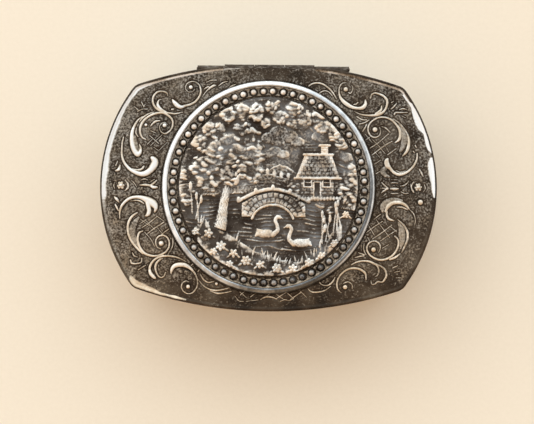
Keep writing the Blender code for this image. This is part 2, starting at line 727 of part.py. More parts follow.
def add_landscape(plaque, ground):
    """Bank, bridge, cottage, tree and swans raised on the picture field."""
    sunk = ground - PICTURE_RISE / 2
    bank = [(x * PICTURE_RADIUS, y * PICTURE_RADIUS) for x, y in BANK_SHARES]
    start = math.atan2(bank[-1][1], bank[-1][0])
    end = math.atan2(bank[0][1], bank[0][0])
    edge = PICTURE_RADIUS * BANK_EDGE_SHARE
    for step in range(BANK_STEPS + 1):
        angle = start + (end - start) * step / BANK_STEPS
        bank.append((edge * math.cos(angle), edge * math.sin(angle)))
    raised = ground + RELIEF_HEIGHT * BANK_HEIGHT_SHARE
    combine(plaque, "UNION", guide("bank", plate_mesh("bank", [bank], sunk, raised)))
    for name, (share, shares) in OUTLINE_SHARES.items():
        loop = [(x * PICTURE_RADIUS, y * PICTURE_RADIUS) for x, y in shares]
        mesh = plate_mesh(name, [loop], sunk, ground + RELIEF_HEIGHT * share)
        combine(plaque, "UNION", guide(name, mesh))
    for index, (x, y, size, rise) in enumerate(CLUMP_SHARES):
        radius = size * PICTURE_RADIUS
        centre = (x * PICTURE_RADIUS, y * PICTURE_RADIUS, ground)
        dome = (centre, (radius, radius, rise * RELIEF_HEIGHT))
        clump = dome_mesh("clump", [dome], CLUMP_STEPS, DOME_RINGS, sunk)
        combine(plaque, "UNION", guide(f"clump_{index}", clump))
    trunk = [tuple(share * PICTURE_RADIUS for share in point) for point in TRUNK_SHARES]
    combine(plaque, "UNION", guide("trunk", scroll_mesh("trunk", trunk, ground, sunk)))
    for index, (x, y, way) in enumerate(SWAN_SHARES):
        length, width, rise = SWAN_BODY_SHARES
        centre = (x * PICTURE_RADIUS, y * PICTURE_RADIUS, ground)
        radii = (length * PICTURE_RADIUS, width * PICTURE_RADIUS, rise * RELIEF_HEIGHT)
        body = dome_mesh("swan_body", [(centre, radii)], CLUMP_STEPS, DOME_RINGS, sunk)
        combine(plaque, "UNION", guide(f"swan_body_{index}", body))
        neck = [
            ((x + way * dx) * PICTURE_RADIUS, (y + dy) * PICTURE_RADIUS, radius * PICTURE_RADIUS)
            for dx, dy, radius in SWAN_NECK_SHARES
        ]
        raised_neck = scroll_mesh("swan_neck", neck, ground, sunk)
        combine(plaque, "UNION", guide(f"swan_neck_{index}", raised_neck))


def make_lid_lining(velvet, card):
    inset = LEDGE_INNER_INSET + SEAT_GAP
    card_top = PANEL_BOTTOM - SEAT_GAP
    card_bottom = card_top - CARD_THICKNESS
    backing = plate_mesh("lid_lining_card", [outline(inset)], card_bottom, card_top)
    add_object("lid_lining_card", backing, finish=card)
    make_pad("lid_lining_pad", inset, card_bottom - SEAT_GAP, -LID_PAD_HEIGHT, velvet)


def knuckle_span(index):
    """Where one knuckle starts and ends along X, counted from the left."""
    last = KNUCKLE_COUNT - 1
    start = HINGE_LEFT if index == 0 else -LEAF_HALF_LENGTH + (index - 1) * KNUCKLE_LENGTH
    end = HINGE_RIGHT if index == last else -LEAF_HALF_LENGTH + index * KNUCKLE_LENGTH
    return start + KNUCKLE_END_GAP / 2, end - KNUCKLE_END_GAP / 2


def bore_pin(leaf):
    name = leaf.name + "_bore"
    radius = PIN_RADIUS + HINGE_CLEARANCE
    bore = rod_mesh(name, radius, HINGE_LEFT - CUT_OVERRUN, HINGE_RIGHT + CUT_OVERRUN)
    combine(leaf, "DIFFERENCE", guide(name, bore))


def make_hinge_base_leaf(finish):
    """A block on the back wall with the two end knuckles and the middle one standing on it."""
    front = WALL_INSET - SEAT_GAP
    block_top = HINGE_Z - KNUCKLE_RADIUS - SEAT_GAP
    block_bottom = block_top - HINGE_BLOCK_DEPTH
    foot = bowed_plate_loop(front, HINGE_Y, HINGE_LEFT, HINGE_RIGHT)
    leaf = add_object(
        "hinge_base_leaf", plate_mesh("hinge_base_leaf", [foot], block_bottom, block_top), finish=finish
    )
    riser_front = front - HINGE_CLEARANCE
    riser_back = HINGE_Y - HINGE_CLEARANCE
    for index in range(0, KNUCKLE_COUNT, 2):
        start, end = knuckle_span(index)
        loop = bowed_plate_loop(riser_front, riser_back, start + KNUCKLE_END_GAP, end - KNUCKLE_END_GAP)
        riser = plate_mesh("riser", [loop], block_top - SEAT_GAP, BASE_HEIGHT)
        combine(leaf, "UNION", guide(f"base_riser_{index}", riser))
        outermost = index in (0, KNUCKLE_COUNT - 1)
        radius = END_KNUCKLE_RADIUS if outermost else KNUCKLE_RADIUS
        knuckle = rod_mesh("knuckle", radius, start, end)
        combine(leaf, "UNION", guide(f"base_knuckle_{index}", knuckle))
    bore_pin(leaf)
    shade_round(leaf)
    return leaf


def make_hinge_lid_leaf(finish):
    """A plate let in under the lid's ledge, with the second and fourth knuckles on it."""
    loop = bowed_plate_loop(LEAF_INSET, HINGE_NOTCH_Y, -LEAF_HALF_LENGTH, LEAF_HALF_LENGTH)
    plate = plate_mesh("hinge_lid_leaf", [loop], LID_BOTTOM, LEDGE_BOTTOM - SEAT_GAP)
    leaf = add_object("hinge_lid_leaf", plate, finish=finish)
    for index in range(1, KNUCKLE_COUNT, 2):
        start, end = knuckle_span(index)
        knuckle = rod_mesh("knuckle", KNUCKLE_RADIUS, start, end)
        combine(leaf, "UNION", guide(f"lid_knuckle_{index}", knuckle))
    room = KNUCKLE_RADIUS + HINGE_CLEARANCE
    half = KNUCKLE_LENGTH / 2 + KNUCKLE_END_GAP / 2
    clearing = block_mesh(
        "middle_knuckle_room", (-half, HINGE_Y - room, LID_BOTTOM - CUT_OVERRUN),
        (half, HINGE_Y + room, HINGE_Z + room),
    )
    combine(leaf, "DIFFERENCE", guide("middle_knuckle_room", clearing))
    bore_pin(leaf)
    shade_round(leaf)
    return leaf


def make_hinge_pin(finish):
    rod = rod_mesh("hinge_pin", PIN_RADIUS, HINGE_LEFT - PIN_PROJECTION, HINGE_RIGHT + PIN_PROJECTION)
    pin = add_object("hinge_pin", rod, finish=finish)
    rounded = pin.modifiers.new("rounded_ends", "BEVEL")
    rounded.width = PIN_PROJECTION
    rounded.segments = 2
    shade_round(pin)
    return pin


def hang_on_hinge(names):
    """Parents the lid's pieces to an empty on the hinge axis."""
    axis = bpy.data.objects.new("lid_hinge_axis", None)
    link(axis, PARTS)
    axis.location = (0.0, HINGE_Y, HINGE_Z)
    bpy.context.view_layer.update()
    for name in names:
        piece = bpy.data.objects[name]
        piece.parent = axis
        piece.matrix_parent_inverse = axis.matrix_world.inverted()


def build():
    clear_scene()
    bright = material("silver_plate_bright", (0.72, 0.68, 0.60), 1.0, 0.30)
    dark = material("silver_plate_patina", (0.16, 0.13, 0.10), 0.9, 0.45)
    steel = material("hinge_metal", (0.42, 0.38, 0.32), 1.0, 0.40)
    velvet = material("velvet", (0.16, 0.01, 0.02), 0.0, 0.90, sheen=0.6)
    card = material("backing_card", (0.45, 0.38, 0.28), 0.0, 0.90)
    make_base_wall(dark)
    make_base_bottom(dark)
    make_base_lining(velvet, card)
    make_hinge_base_leaf(steel)
    make_hinge_pin(steel)
    make_lid_band(bright)
    make_lid_panel(dark)
    make_medallion_bezel(bright)
    make_medallion_plaque(bright)
    make_lid_lining(velvet, card)
    make_hinge_lid_leaf(steel)
    hang_on_hinge(
        ["lid_band", "lid_panel", "medallion_bezel", "medallion_plaque", "lid_lining_card",
         "lid_lining_pad", "hinge_lid_leaf"]
    )


build()
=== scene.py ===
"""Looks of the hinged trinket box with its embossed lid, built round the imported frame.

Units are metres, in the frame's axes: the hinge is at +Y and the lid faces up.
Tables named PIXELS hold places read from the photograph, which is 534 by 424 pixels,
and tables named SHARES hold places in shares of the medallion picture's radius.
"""

import json
import math

import bpy
import numpy as np
from mathutils import Matrix, Vector


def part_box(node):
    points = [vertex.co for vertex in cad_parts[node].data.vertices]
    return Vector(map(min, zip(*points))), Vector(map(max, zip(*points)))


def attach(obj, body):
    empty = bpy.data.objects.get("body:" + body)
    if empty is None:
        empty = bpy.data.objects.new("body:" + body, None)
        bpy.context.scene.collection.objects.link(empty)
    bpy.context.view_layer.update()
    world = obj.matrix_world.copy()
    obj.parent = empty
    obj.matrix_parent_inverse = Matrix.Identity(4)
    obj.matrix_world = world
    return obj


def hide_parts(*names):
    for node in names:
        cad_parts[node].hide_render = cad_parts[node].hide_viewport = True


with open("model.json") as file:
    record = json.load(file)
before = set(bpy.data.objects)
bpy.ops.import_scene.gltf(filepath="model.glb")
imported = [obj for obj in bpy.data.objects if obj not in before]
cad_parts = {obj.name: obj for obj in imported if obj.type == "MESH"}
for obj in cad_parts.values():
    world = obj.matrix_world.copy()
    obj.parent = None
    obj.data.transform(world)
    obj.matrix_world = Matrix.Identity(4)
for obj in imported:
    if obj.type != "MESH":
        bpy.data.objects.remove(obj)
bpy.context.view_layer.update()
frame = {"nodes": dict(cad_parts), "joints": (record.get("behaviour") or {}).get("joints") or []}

# Photograph: its size, the lid's middle in it and the size of a pixel on the lid
PHOTO_SIZE = (534, 424)
LID_MIDDLE_PIXEL = (268.1, 186.9)
PIXEL = 0.0002254
PHOTO_TURN = math.radians(0.546)

# Lid outline: four bowed sides that meet at soft corners
BAND_LOW, BAND_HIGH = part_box("lid_band")
LID_LENGTH = BAND_HIGH.x - BAND_LOW.x
LID_DEPTH = -2 * BAND_LOW.y
END_BOW_RADIUS = 0.0380
SIDE_BOW_RADIUS = 0.0927
CORNER_RADIUS = 0.0032
LEAST_CORNER_RADIUS = 0.0012
END_STEPS = 200
CORNER_STEPS = 28
SIDE_STEPS = 248
QUARTER_STEPS = END_STEPS + CORNER_STEPS + SIDE_STEPS

# Heights read from the frame, and the lid's sections
LID_BOTTOM = BAND_LOW.z
LID_TOP = BAND_HIGH.z
RIM_RISE = 0.00020
RIM_WIDTH = 0.00105
RIM_ROUNDING = 0.0006
RIM_SQUARENESS = 0.55
DARK_EDGE_WIDTH = 0.00041
RIM_STEPS = 12
CREST_START = (0.00045, 0.00065)
CREST_END = (0.00130, 0.00100)
SKIRT_TAPER = 0.00025
SKIRT_TAPER_HEIGHT = 0.0012
SKIRT_THICKNESS = 0.0010
LEDGE_WIDTH = 0.0010
LEDGE_THICKNESS = 0.00125
FIELD_HEIGHT = LID_TOP - RIM_RISE
PANEL_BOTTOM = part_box("lid_panel")[0].z
SEAT_GAP = 0.00015
LEDGE_TOP = PANEL_BOTTOM - SEAT_GAP
LEDGE_BOTTOM = LEDGE_TOP - LEDGE_THICKNESS
LEDGE_INNER_INSET = SKIRT_THICKNESS + LEDGE_WIDTH
TUCK = 0.00005
FIELD_ROWS = 184
FIELD_QUARTERS = ("back_right", "back_left", "front_left", "front_right")
SHARP_ANGLE = math.radians(40)

# Base shell
BASE_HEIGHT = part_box("base_wall")[1].z
WALL_INSET = 0.0017
WALL_THICKNESS = 0.0009
WALL_INNER_INSET = WALL_INSET + WALL_THICKNESS
FOOT_INSET = 0.00045
FOOT_HEIGHT = 0.0013
FOOT_COVE_HEIGHT = 0.0017
FLANGE_INSET = 0.0003
FLANGE_HEIGHT = 0.0011
FLANGE_COVE_HEIGHT = 0.0015
EDGE_SOFTENING = 0.00025
FOOT_WEAR = (0.0016, 0.0004)
FLANGE_WEAR = (0.0014, 0.0004)
COVE_STEPS = 10
BEND_STEPS = 4
BASE_STRIDE = 2

# Linings
STRIP_THICKNESS = 0.0007
STRIP_STRIDE = 4
STRIP_DIP = 0.00006
BASE_PAD_INSET = WALL_INNER_INSET + SEAT_GAP + STRIP_THICKNESS + SEAT_GAP
LID_PAD_INSET = LEDGE_INNER_INSET + SEAT_GAP
PAD_EASE = 0.0003
PAD_STRIDE = 8
PAD_FLAT_SHARE = 0.62
PAD_SWELL_SHARE = 0.42
PAD_ROOM = 0.00002
CLOTH_SCALE = 10.0
CLOTH_CELL = 0.0085
CLOTH_FRAMES = 20

# Hinge room in the back edge
LEAF_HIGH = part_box("hinge_lid_leaf")[1]
BASE_LEAF_LOW, BASE_LEAF_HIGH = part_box("hinge_base_leaf")
LID_POCKET = LEAF_HIGH.x + SEAT_GAP
HINGE_LEFT = BASE_LEAF_LOW.x - SEAT_GAP
HINGE_RIGHT = BASE_LEAF_HIGH.x + SEAT_GAP
HINGE_AXIS = Vector(frame["joints"][0]["pos_m"])
KNUCKLE_RADIUS = 0.00100
NOTCH_Y = HINGE_AXIS.y - KNUCKLE_RADIUS / 2
BARREL_CLEARANCE = 0.00082
BARREL_TOP = HINGE_AXIS.z + BARREL_CLEARANCE
LEAF_HALF_LENGTH = 0.01032
JOINT_COUNT = 4
# Thin dark discs that fill the hinge's joints as painted shade
SHADE_DISC_THICKNESS = 0.00008
SHADE_DISC_RADIUS = 0.00068
SHADE_DISC_COLUMNS = 32

# Medallion
BEZEL_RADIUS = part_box("medallion_bezel")[1].x
BEZEL_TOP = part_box("medallion_bezel")[1].z
BEZEL_WIDTH = 0.00120
BEZEL_INNER_RADIUS = BEZEL_RADIUS - BEZEL_WIDTH
BEZEL_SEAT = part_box("medallion_bezel")[0].z
# The bezel's section from its inner edge outwards, as (across, down) in shares of its width
BEZEL_SECTION = [
    (0.00, 0.30), (0.03, 0.16), (0.09, 0.06), (0.17, 0.01), (0.26, 0.00), (0.36, 0.025), (0.48, 0.07),
    (0.60, 0.13), (0.71, 0.20), (0.80, 0.28), (0.88, 0.39), (0.945, 0.53), (0.985, 0.70), (1.00, 0.90),
]
BEZEL_COLUMNS = 900
BEZEL_DENT = 0.00003
BEZEL_DENT_SIZE = 0.0030
BEAD_RING_INSET = 0.0012
BEAD_RING_RADIUS = BEZEL_INNER_RADIUS - BEAD_RING_INSET
BEAD_RADIUS = 0.00072
BEAD_WANDER = 0.00004
BEAD_UNEVENNESS = 0.00002
BEAD_COUNT = 60
BEAD_PHASE = math.radians(3.5)
BEAD_ROWS = 10
BEAD_COLUMNS = 22
TRACK_RISE = 0.0007
TRACK_HEIGHT = FIELD_HEIGHT + TRACK_RISE
TRACK_SINK = 0.00022
TRACK_SINK_EDGE = (0.00030, 0.00008)
TRACK_GRAIN = 0.000012
TRACK_GRAIN_SIZE = 0.0005
TRACK_SHADE = (0.00030, 0.00005)
FILLET_RISE = 0.00012
TRACK_ROWS = 44
TRACK_COLUMNS = 1800
PICTURE_INSET = 0.00130
PICTURE_RADIUS = BEAD_RING_RADIUS - PICTURE_INSET
GROOVE_WIDTH = 0.00045
GROOVE_DEPTH = 0.00040
GROOVE_EDGE = 0.00010
GROOVE_EDGE_SOFTNESS = 0.00012
RELIEF_HEIGHT = 0.0008
PICTURE_STEPS = 306
# How far the picture's wear looks round each point in grid steps, and the steps in height that count
NEAR_REACH = 5
FINE_REACH = 2
BROAD_REACH = 9
NEAR_CREST = (-0.00002, 0.00012)
BROAD_CREST = (-0.00005, 0.00018)
NEAR_HOLLOW = (-0.00003, -0.00010)
# Sides where painted highlight falls: on the bezel's face, on its outer edge and on the beads
BEZEL_HIGHLIGHT_SIDE = math.radians(140)
OUTER_HIGHLIGHT_SIDE = math.radians(25)
BEAD_HIGHLIGHT_SIDE = math.radians(105)

# Sizes of the uneven patches in the wear
SHINE_PATCH = 0.0026
LATTICE_PATCH = 0.0030
LEAF_PATCH = 0.0020
GROUND_PATCH = 0.0040
RIM_PATCH = 0.0060
RIM_GRAIN = 0.0008
BEZEL_PATCH = 0.0050
BEZEL_GRAIN = 0.0012
PICTURE_PATCH = 0.0035
SHELL_PATCH = 0.0050
MOULDING_PATCH = 0.0024

# Sizes of the patterns in the materials, and depths of their bumps
PATINA_PATCH = 0.0050
BRIGHT_PATCH = 0.0022
STIPPLE_SIZE = 0.00045
FINE_GRAIN_SIZE = 0.00016
SILVER_BUMP_DEPTH = 0.00004
BRUSHED_PATCH = 0.0070
PILE_SIZE = 0.00022
PILE_DEPTH = 0.00008
FIBRE_SIZE = 0.0006
FIBRE_DEPTH = 0.00005
FLOOR_GRAIN_SIZE = 0.0009

# Colours of the plating, from dark to bright
PATINA = [(0.024, 0.015, 0.008), (0.058, 0.039, 0.024), (0.105, 0.082, 0.059)]
WARM_SILVER = [(0.64, 0.52, 0.38), (0.88, 0.79, 0.67)]
COOL_SILVER = [(0.74, 0.72, 0.69), (0.95, 0.94, 0.92)]
FRONT_TONE = (1.04, 0.93, 0.80)
FRONT_REACH = (-0.024, 0.004)
# Each silver's dark tones, its bright tones and what sets it apart from plain plate
SILVERS = {
    "patinated_silver": (PATINA, WARM_SILVER, {
        "pale_wear_and_highlight": True, "grain": 0.38, "metallic": (0.75, 0.30), "front_tone": FRONT_TONE,
    }),
    "rim_silver": (PATINA, WARM_SILVER, {
        "pale_wear_and_highlight": True, "grain": 0.30, "metallic": (0.75, 0.20), "front_tone": FRONT_TONE,
    }),
    "bright_ring": ([(0.10, 0.10, 0.10), (0.16, 0.16, 0.16), (0.24, 0.24, 0.245)], COOL_SILVER, {
        "rough": (0.42, 0.24), "grain": 0.12, "bump": 0.10,
    }),
    "picture_silver": ([(0.030, 0.019, 0.012), (0.088, 0.068, 0.052), (0.195, 0.182, 0.172)],
                       [(0.80, 0.63, 0.46), (0.96, 0.89, 0.79)], {"grain": 0.42}),
    "bead_silver": ([(0.030, 0.025, 0.022), (0.05, 0.043, 0.04), (0.07, 0.065, 0.062)],
                    [(0.69, 0.59, 0.49), (0.93, 0.84, 0.74)], {
        "rough": (0.55, 0.42), "grain": 0.26, "bump": 0.12, "metallic": (0.7, 0.3),
    }),
    "shell_silver": ([(0.034, 0.025, 0.017), (0.072, 0.056, 0.042), (0.125, 0.105, 0.085)], WARM_SILVER, {
        "rough": (0.40, 0.28), "grain": 0.07, "bump": 0.06, "metallic": (0.90, 0.70),
    }),
    "hinge_metal": ([(0.032, 0.020, 0.012), (0.064, 0.042, 0.027), (0.118, 0.084, 0.060)], WARM_SILVER, {
        "worn_level": 0.16, "grain": 0.26, "bump": 0.3, "streak": (0.45, 1.0, 1.0),
    }),
}

# Scrolls, leaves and sprigs in relief, each a line of (x, y, width) in pixels
SCROLL_PIXELS = [
    [(122.9, 137, 1.6), (121.8, 142, 1.8), (121.3, 148.7, 2), (121.5, 155.3, 2.2), (123.3, 161.2, 2.6),
     (126.7, 166.2, 3), (130.8, 169.9, 3.6), (135.8, 172.6, 4.4), (140.8, 173.9, 5.4), (145.8, 173, 6.4),
     (150, 169.9, 7), (153.3, 165.5, 8), (154.6, 161.2, 7.4), (152.5, 158.3, 5), (150.8, 157, 2)],
    [(130.8, 168.3, 1), (136.7, 169.7, 1.8), (141.2, 168.9, 2.4), (143.3, 166.2, 2)],
    [(141.7, 116.6, 1.4), (137.5, 119.5, 1.8), (133.9, 125.3, 2.6), (131.6, 132, 3.8), (131.3, 138.7, 4.8),
     (132.1, 145.3, 5.2), (134.2, 150.8, 5.6), (137.3, 154, 5.6), (139.6, 151.8, 3.8), (140.2, 147.8, 2.4),
     (138.8, 144.1, 1.2)],
    [(135.8, 127.8, 1.2), (135.4, 132.8, 1.6), (137.5, 136.2, 1.2)],
    [(145.4, 139.1, 1.4), (141.7, 137, 1.8), (139.8, 132.8, 2.2), (139.6, 127.8, 2.6), (141.3, 122.8, 2.6),
     (145, 118.3, 2.4), (150, 114.9, 2.4), (155.8, 112.8, 2.4), (162.5, 112.4, 2.4), (167.5, 114.9, 2.4),
     (171.3, 118.7, 2), (172.3, 123.7, 2), (170.8, 128.7, 1.8), (167.5, 132, 1.8), (163.8, 133.3, 1.6),
     (160.4, 131.2, 1.3), (159, 127, 1.3), (160.4, 123.7, 1.2), (163.8, 122, 1.2), (166.7, 124.1, 1)],
    [(138.8, 121.5, 1), (142.5, 117, 1.8), (147.5, 113.6, 1.6), (153, 111.6, 1)],
    [(150, 125.8, 1.2), (152.5, 122.8, 2), (155.4, 120.8, 2.2), (159.2, 120.3, 1.2)],
    [(182, 111.6, 1), (175, 113.2, 1.6), (170, 112.7, 1.8), (165, 112, 2), (160, 110.3, 2.4),
     (155.8, 107.8, 2.4), (152.9, 103.7, 2.2), (152.1, 98.7, 2.2), (153.8, 94.1, 2.2), (157.5, 91.2, 2),
     (162.5, 90.8, 1.8), (166.3, 92.4, 1.6), (167.1, 95.3, 1)],
    [(165.8, 111.6, 1.4), (161.3, 109.3, 2.6), (157.9, 106.2, 3.4), (157.1, 102.8, 2.6), (158.3, 99.7, 1.6),
     (160.4, 98.7, 1)],
    [(171.3, 109, 2), (173.4, 108.6, 1.2)],
    [(172, 99.4, 2), (174.4, 102.6, 4.6), (177.3, 105.3, 5), (180.8, 106.6, 3.6), (184.2, 105.4, 2.6),
     (189.2, 104.1, 2.4), (194.2, 101.6, 2.4), (197.9, 97.4, 2.2), (200, 92.8, 2), (200, 87.8, 1.8),
     (198.3, 83.7, 1.4), (195, 81.3, 1.1), (190.8, 80.8, 1.1), (186.7, 82.8, 1.1), (185, 87, 1.1),
     (187.1, 90.8, 1.1), (191.3, 91.2, 1), (194.2, 88.7, 1)],
    [(133.3, 105.6, 1), (137.5, 109.5, 1.2)],
    [(136.7, 111.2, 0.9), (141.7, 108.7, 1.2), (146.7, 108.7, 0.9)],
    [(140.8, 101.6, 1.2), (143.3, 106.2, 1)], [(144.6, 103.6, 1), (142.6, 107, 1)],
    [(119.6, 165, 1.4), (118.2, 169.2, 3.2), (115, 170.6, 1.4)], [(117.1, 160.8, 1), (115.4, 165.3, 1.4)],
    [(202, 96, 0.9), (206, 90.5, 1.2), (212, 85.6, 2.6), (215, 84.6, 1.4)],
    [(203.5, 88.5, 0.9), (207.5, 86.2, 1.6), (209.6, 87.4, 1)],
    [(228, 88, 0.9), (231, 85.6, 1.6), (235, 83.8, 1)], [(206, 81.5, 0.8), (211, 79.6, 1.3), (216, 79.4, 1)],
    [(218, 85.2, 0.9), (222.5, 82, 1.3), (227, 80.6, 0.9)],
    [(119.5, 218.6, 1.2), (119.5, 212.2, 2), (120.9, 206.7, 2.6), (124.1, 202.2, 3), (128.2, 198.9, 3.4),
     (132.7, 197.2, 3.4), (138.2, 196.9, 3.8), (143.6, 198.3, 5.4), (148.9, 201, 8.2), (153.2, 203.7, 8.2),
     (155.5, 207.6, 4.8), (154.5, 211.6, 2.2)],
    [(147.3, 202.2, 5), (148.2, 206.7, 5), (148.9, 210.4, 5), (147.9, 214, 4.4), (145.2, 216, 1.4)],
    [(130, 201, 1), (135.5, 200.2, 1.5), (140, 201, 1.8), (143.6, 203.4, 1.2)],
    [(137, 212.6, 1.4), (132.7, 215.4, 2.4), (129.5, 219.5, 2.6), (127.7, 224.9, 2.6), (127.7, 231.3, 2.4),
     (129.5, 237.6, 2.4), (132.7, 243.1, 2.2), (137.3, 248.5, 2.2), (142.7, 253.5, 1.8)],
    [(142.7, 230.8, 1.2), (139.1, 232.6, 2), (137.5, 237.6, 2.4), (138.2, 243.1, 2.4), (140.5, 248.5, 2.6),
     (144.5, 253.1, 2.8), (150, 255.4, 2.4), (155.5, 255.8, 2.2), (160.9, 254.5, 2.2), (165.5, 251.7, 2),
     (168.6, 247.2, 2), (169.1, 242.2, 1.8), (167.3, 237.6, 1.8), (163.6, 235.4, 1.8), (159.5, 235.8, 1.8),
     (156.4, 238.5, 1.6), (155.5, 243.1, 1.6), (157.3, 247.2, 1.3), (160.5, 248.7, 0.9)],
    [(172.7, 237.6, 1.2), (172.7, 244, 1.4), (170.9, 249.5, 1.2), (167.7, 254.5, 1)],
    [(185.5, 261.3, 1), (179.1, 258.1, 1.6), (172.7, 256.3, 2), (165.5, 255.8, 2.4), (160, 256.7, 2.4),
     (154.5, 259.5, 2.4), (150.9, 264, 2.6), (149.5, 268.5, 2.6), (150.5, 273.1, 4), (153.6, 276.7, 3.6),
     (155.9, 278.5, 1.2)],
    [(162.7, 258.1, 1), (159.1, 259.9, 2.2), (155.9, 264, 2.4), (155.3, 268.5, 2.2), (156.8, 273.5, 1.8),
     (160, 277.2, 1.6), (163.6, 276.3, 1.4), (165.5, 272.2, 1.2)],
    [(170.9, 273.1, 1.5), (171.8, 269, 3.5), (174.5, 265.8, 4.5), (179.1, 264.5, 5), (184.5, 264.9, 5),
     (189.5, 267.6, 3.6), (193.6, 271.7, 2.2), (196.4, 276.7, 1.8), (197.5, 282.2, 1.6), (196.4, 287.6, 1.6),
     (192.7, 292.2, 1.5), (188.2, 293.5, 1.2), (183.6, 291.3, 1.3), (181.4, 287.2, 1.4), (182.3, 283.1, 1.4),
     (185.5, 280.8, 1.2), (188.6, 281.7, 0.9)],
    [(190.6, 266, 0.9), (192.9, 263.6, 1.6)], [(197.6, 271.6, 0.9), (199.3, 269.4, 1.6)],
    [(200, 274, 1.4), (203.6, 279.5, 1.8), (208.2, 282.2, 1.6), (213.6, 281.3, 1.2)],
    [(198.2, 279.5, 1), (202.7, 284.9, 1.4), (208.2, 288.5, 1.6), (214.5, 290.2, 2), (221.8, 289.5, 1.6),
     (229.1, 287.6, 1)],
    [(210, 290.6, 1), (217.3, 293.1, 1.8), (225.5, 292.4, 1.4), (231.5, 290.8, 1)],
    [(130.5, 260, 1.6), (131.8, 263.1, 1.8), (136.4, 263.5, 1.6), (140.9, 262.2, 1.4), (141.8, 258, 1.2)],
    [(132.3, 252.6, 1.2), (134.1, 255.8, 1.5), (137.6, 257, 1)], [(138.2, 269.8, 1), (145.5, 264.9, 1.1)],
    [(114.1, 196.8, 1.4), (116.4, 199, 3.2), (118.6, 201.9, 1.2)],
    [(115, 204.3, 1.4), (116.4, 207.2, 2.2), (118.2, 210.6, 1.1)],
    [(417.1, 153.2, 1.4), (416.7, 158.7, 2), (414.2, 164.5, 2.2), (410, 169.5, 2.4), (404.2, 173.3, 2.8),
     (398.3, 174.3, 3.2), (393.3, 172, 3.2), (390, 168.3, 3.6), (387.1, 164.9, 5.8), (386.3, 161.2, 5),
     (387.5, 158.5, 2)],
    [(405, 171, 1.2), (400, 172.2, 1.4), (395.8, 170.4, 1)],
    [(402.6, 155.6, 1.4), (406.3, 151.6, 3), (408.3, 146.2, 3.4), (408.8, 140.3, 2.8), (407.5, 134.5, 2),
     (404.2, 128.7, 1.8), (399.2, 122.8, 1.6), (393.3, 118.7, 1.4)],
    [(395, 142.4, 1.4), (398.8, 139.5, 3), (400, 134.5, 3), (399.2, 128.7, 3), (395.8, 123.7, 2.4),
     (390.8, 119.1, 2.2), (385, 117, 2), (379.2, 117, 2), (374.2, 119.1, 1.8), (370, 122.8, 1.8),
     (367.9, 127.8, 1.8), (368.8, 132.8, 1.8), (371.7, 136.2, 1.8), (375.8, 137, 1.6), (379.6, 134.5, 1.6),
     (380.4, 130.3, 1.2), (379.2, 127, 1)],
    [(381.7, 126.2, 1), (385.8, 127.8, 1.6), (390, 132, 1.3)],
    [(366.7, 123.7, 1.2), (364.6, 127.8, 1.6), (362.5, 131.2, 1.2)],
    [(370.4, 97.8, 1.4), (371.7, 94.1, 1.6), (375, 92.4, 1.8), (379.2, 93.5, 2.2), (383.3, 95.3, 2.4),
     (386.7, 99.1, 2.8), (387.1, 103.7, 2.6), (385.4, 108.7, 2.4), (382.5, 112, 2.8), (378.3, 114.1, 3.2),
     (373.3, 114.9, 2.4), (366.7, 114.9, 2), (360, 113.7, 1.4), (354.6, 111.2, 0.9)],
    [(381.7, 105.3, 1.4), (381.3, 108.7, 2.2), (379.2, 111.2, 2.8), (375.8, 113.4, 2.6)],
    [(356.7, 116.2, 1.2), (361.7, 119.1, 1.4), (366.7, 119.5, 1.2)],
    [(359.2, 123.7, 1.2), (364.2, 122.4, 1.4), (369, 119.6, 1)],
    [(345.8, 82, 1), (342.1, 82.8, 1.4), (339.6, 86.2, 1.3), (339, 91.2, 1.6), (340, 96.2, 2.4),
     (342.9, 100.6, 4), (347.5, 104.3, 4.5), (352.5, 106.8, 3.6), (358.3, 107.8, 3), (362.9, 107, 4.4),
     (365.4, 103.7, 3.6), (365.4, 99.6, 1.6)],
    [(351.7, 84.5, 0.9), (352.9, 87.8, 1), (350.8, 92.4, 1.2), (348.4, 92, 1)],
    [(353.4, 104, 1), (355.8, 103.7, 1.6), (357.9, 102, 1.4)],
    [(308.5, 85.5, 1.2), (312, 83.2, 1.5), (316.5, 82.3, 1.7), (321.5, 83, 1.9), (326.2, 85.6, 1.9),
     (330.9, 89.8, 1.8), (334.4, 94.6, 1.5), (336.4, 98.4, 1.1)],
    [(318, 94.5, 1), (321, 91.4, 1.3), (325.2, 90.2, 1.5), (329.4, 92, 1.4), (332.4, 95.6, 1)],
    [(390.8, 108.7, 0.9), (393.8, 106.2, 1.6), (396.7, 102.8, 1.2)],
    [(391.7, 102, 1.3), (393.6, 100.6, 0.9)],
    [(394.2, 114.4, 1.6), (395.6, 112.2, 1.8), (401, 112.2, 1.6), (407.5, 112, 1.2)],
    [(399.6, 109.2, 1), (403, 108.2, 1.5), (407, 109, 1)], [(401.6, 115.4, 0.9), (405.4, 117.4, 1.2)],
    [(419.4, 169.6, 1.4), (421.4, 173, 2), (422.9, 176.4, 1.2)], [(413.3, 151.2, 1.6), (414.4, 152.6, 1)],
    [(415.2, 145.4, 1.8), (416.4, 147.4, 1)],
    [(409, 209.4, 1.4), (405.7, 205.5, 3), (400.9, 202.9, 3.6), (395.5, 202.4, 3.8), (390.9, 203.7, 4.2),
     (387.3, 206.9, 4.2), (385, 211.4, 2.4)],
    [(386.6, 212, 2), (386.4, 215.4, 2.6), (388.7, 219, 2.6), (393.6, 220.7, 1.4)],
    [(396.6, 207, 1.4), (401.8, 207.2, 2), (406.9, 209.4, 1.6)],
    [(410.1, 210.2, 1.2), (413.2, 213.7, 1.3), (415, 220.1, 1.2), (414.1, 225.5, 0.9)],
    [(397.4, 219.6, 1.2), (402.7, 224.4, 2), (405.9, 229.2, 2.4), (407.3, 234.6, 2.8), (406.4, 241, 2.6),
     (403.8, 247.2, 2.4), (401.2, 252.2, 1.3)],
    [(399.4, 253.8, 1.4), (394.7, 257.3, 2.4), (389.5, 259.4, 2)],
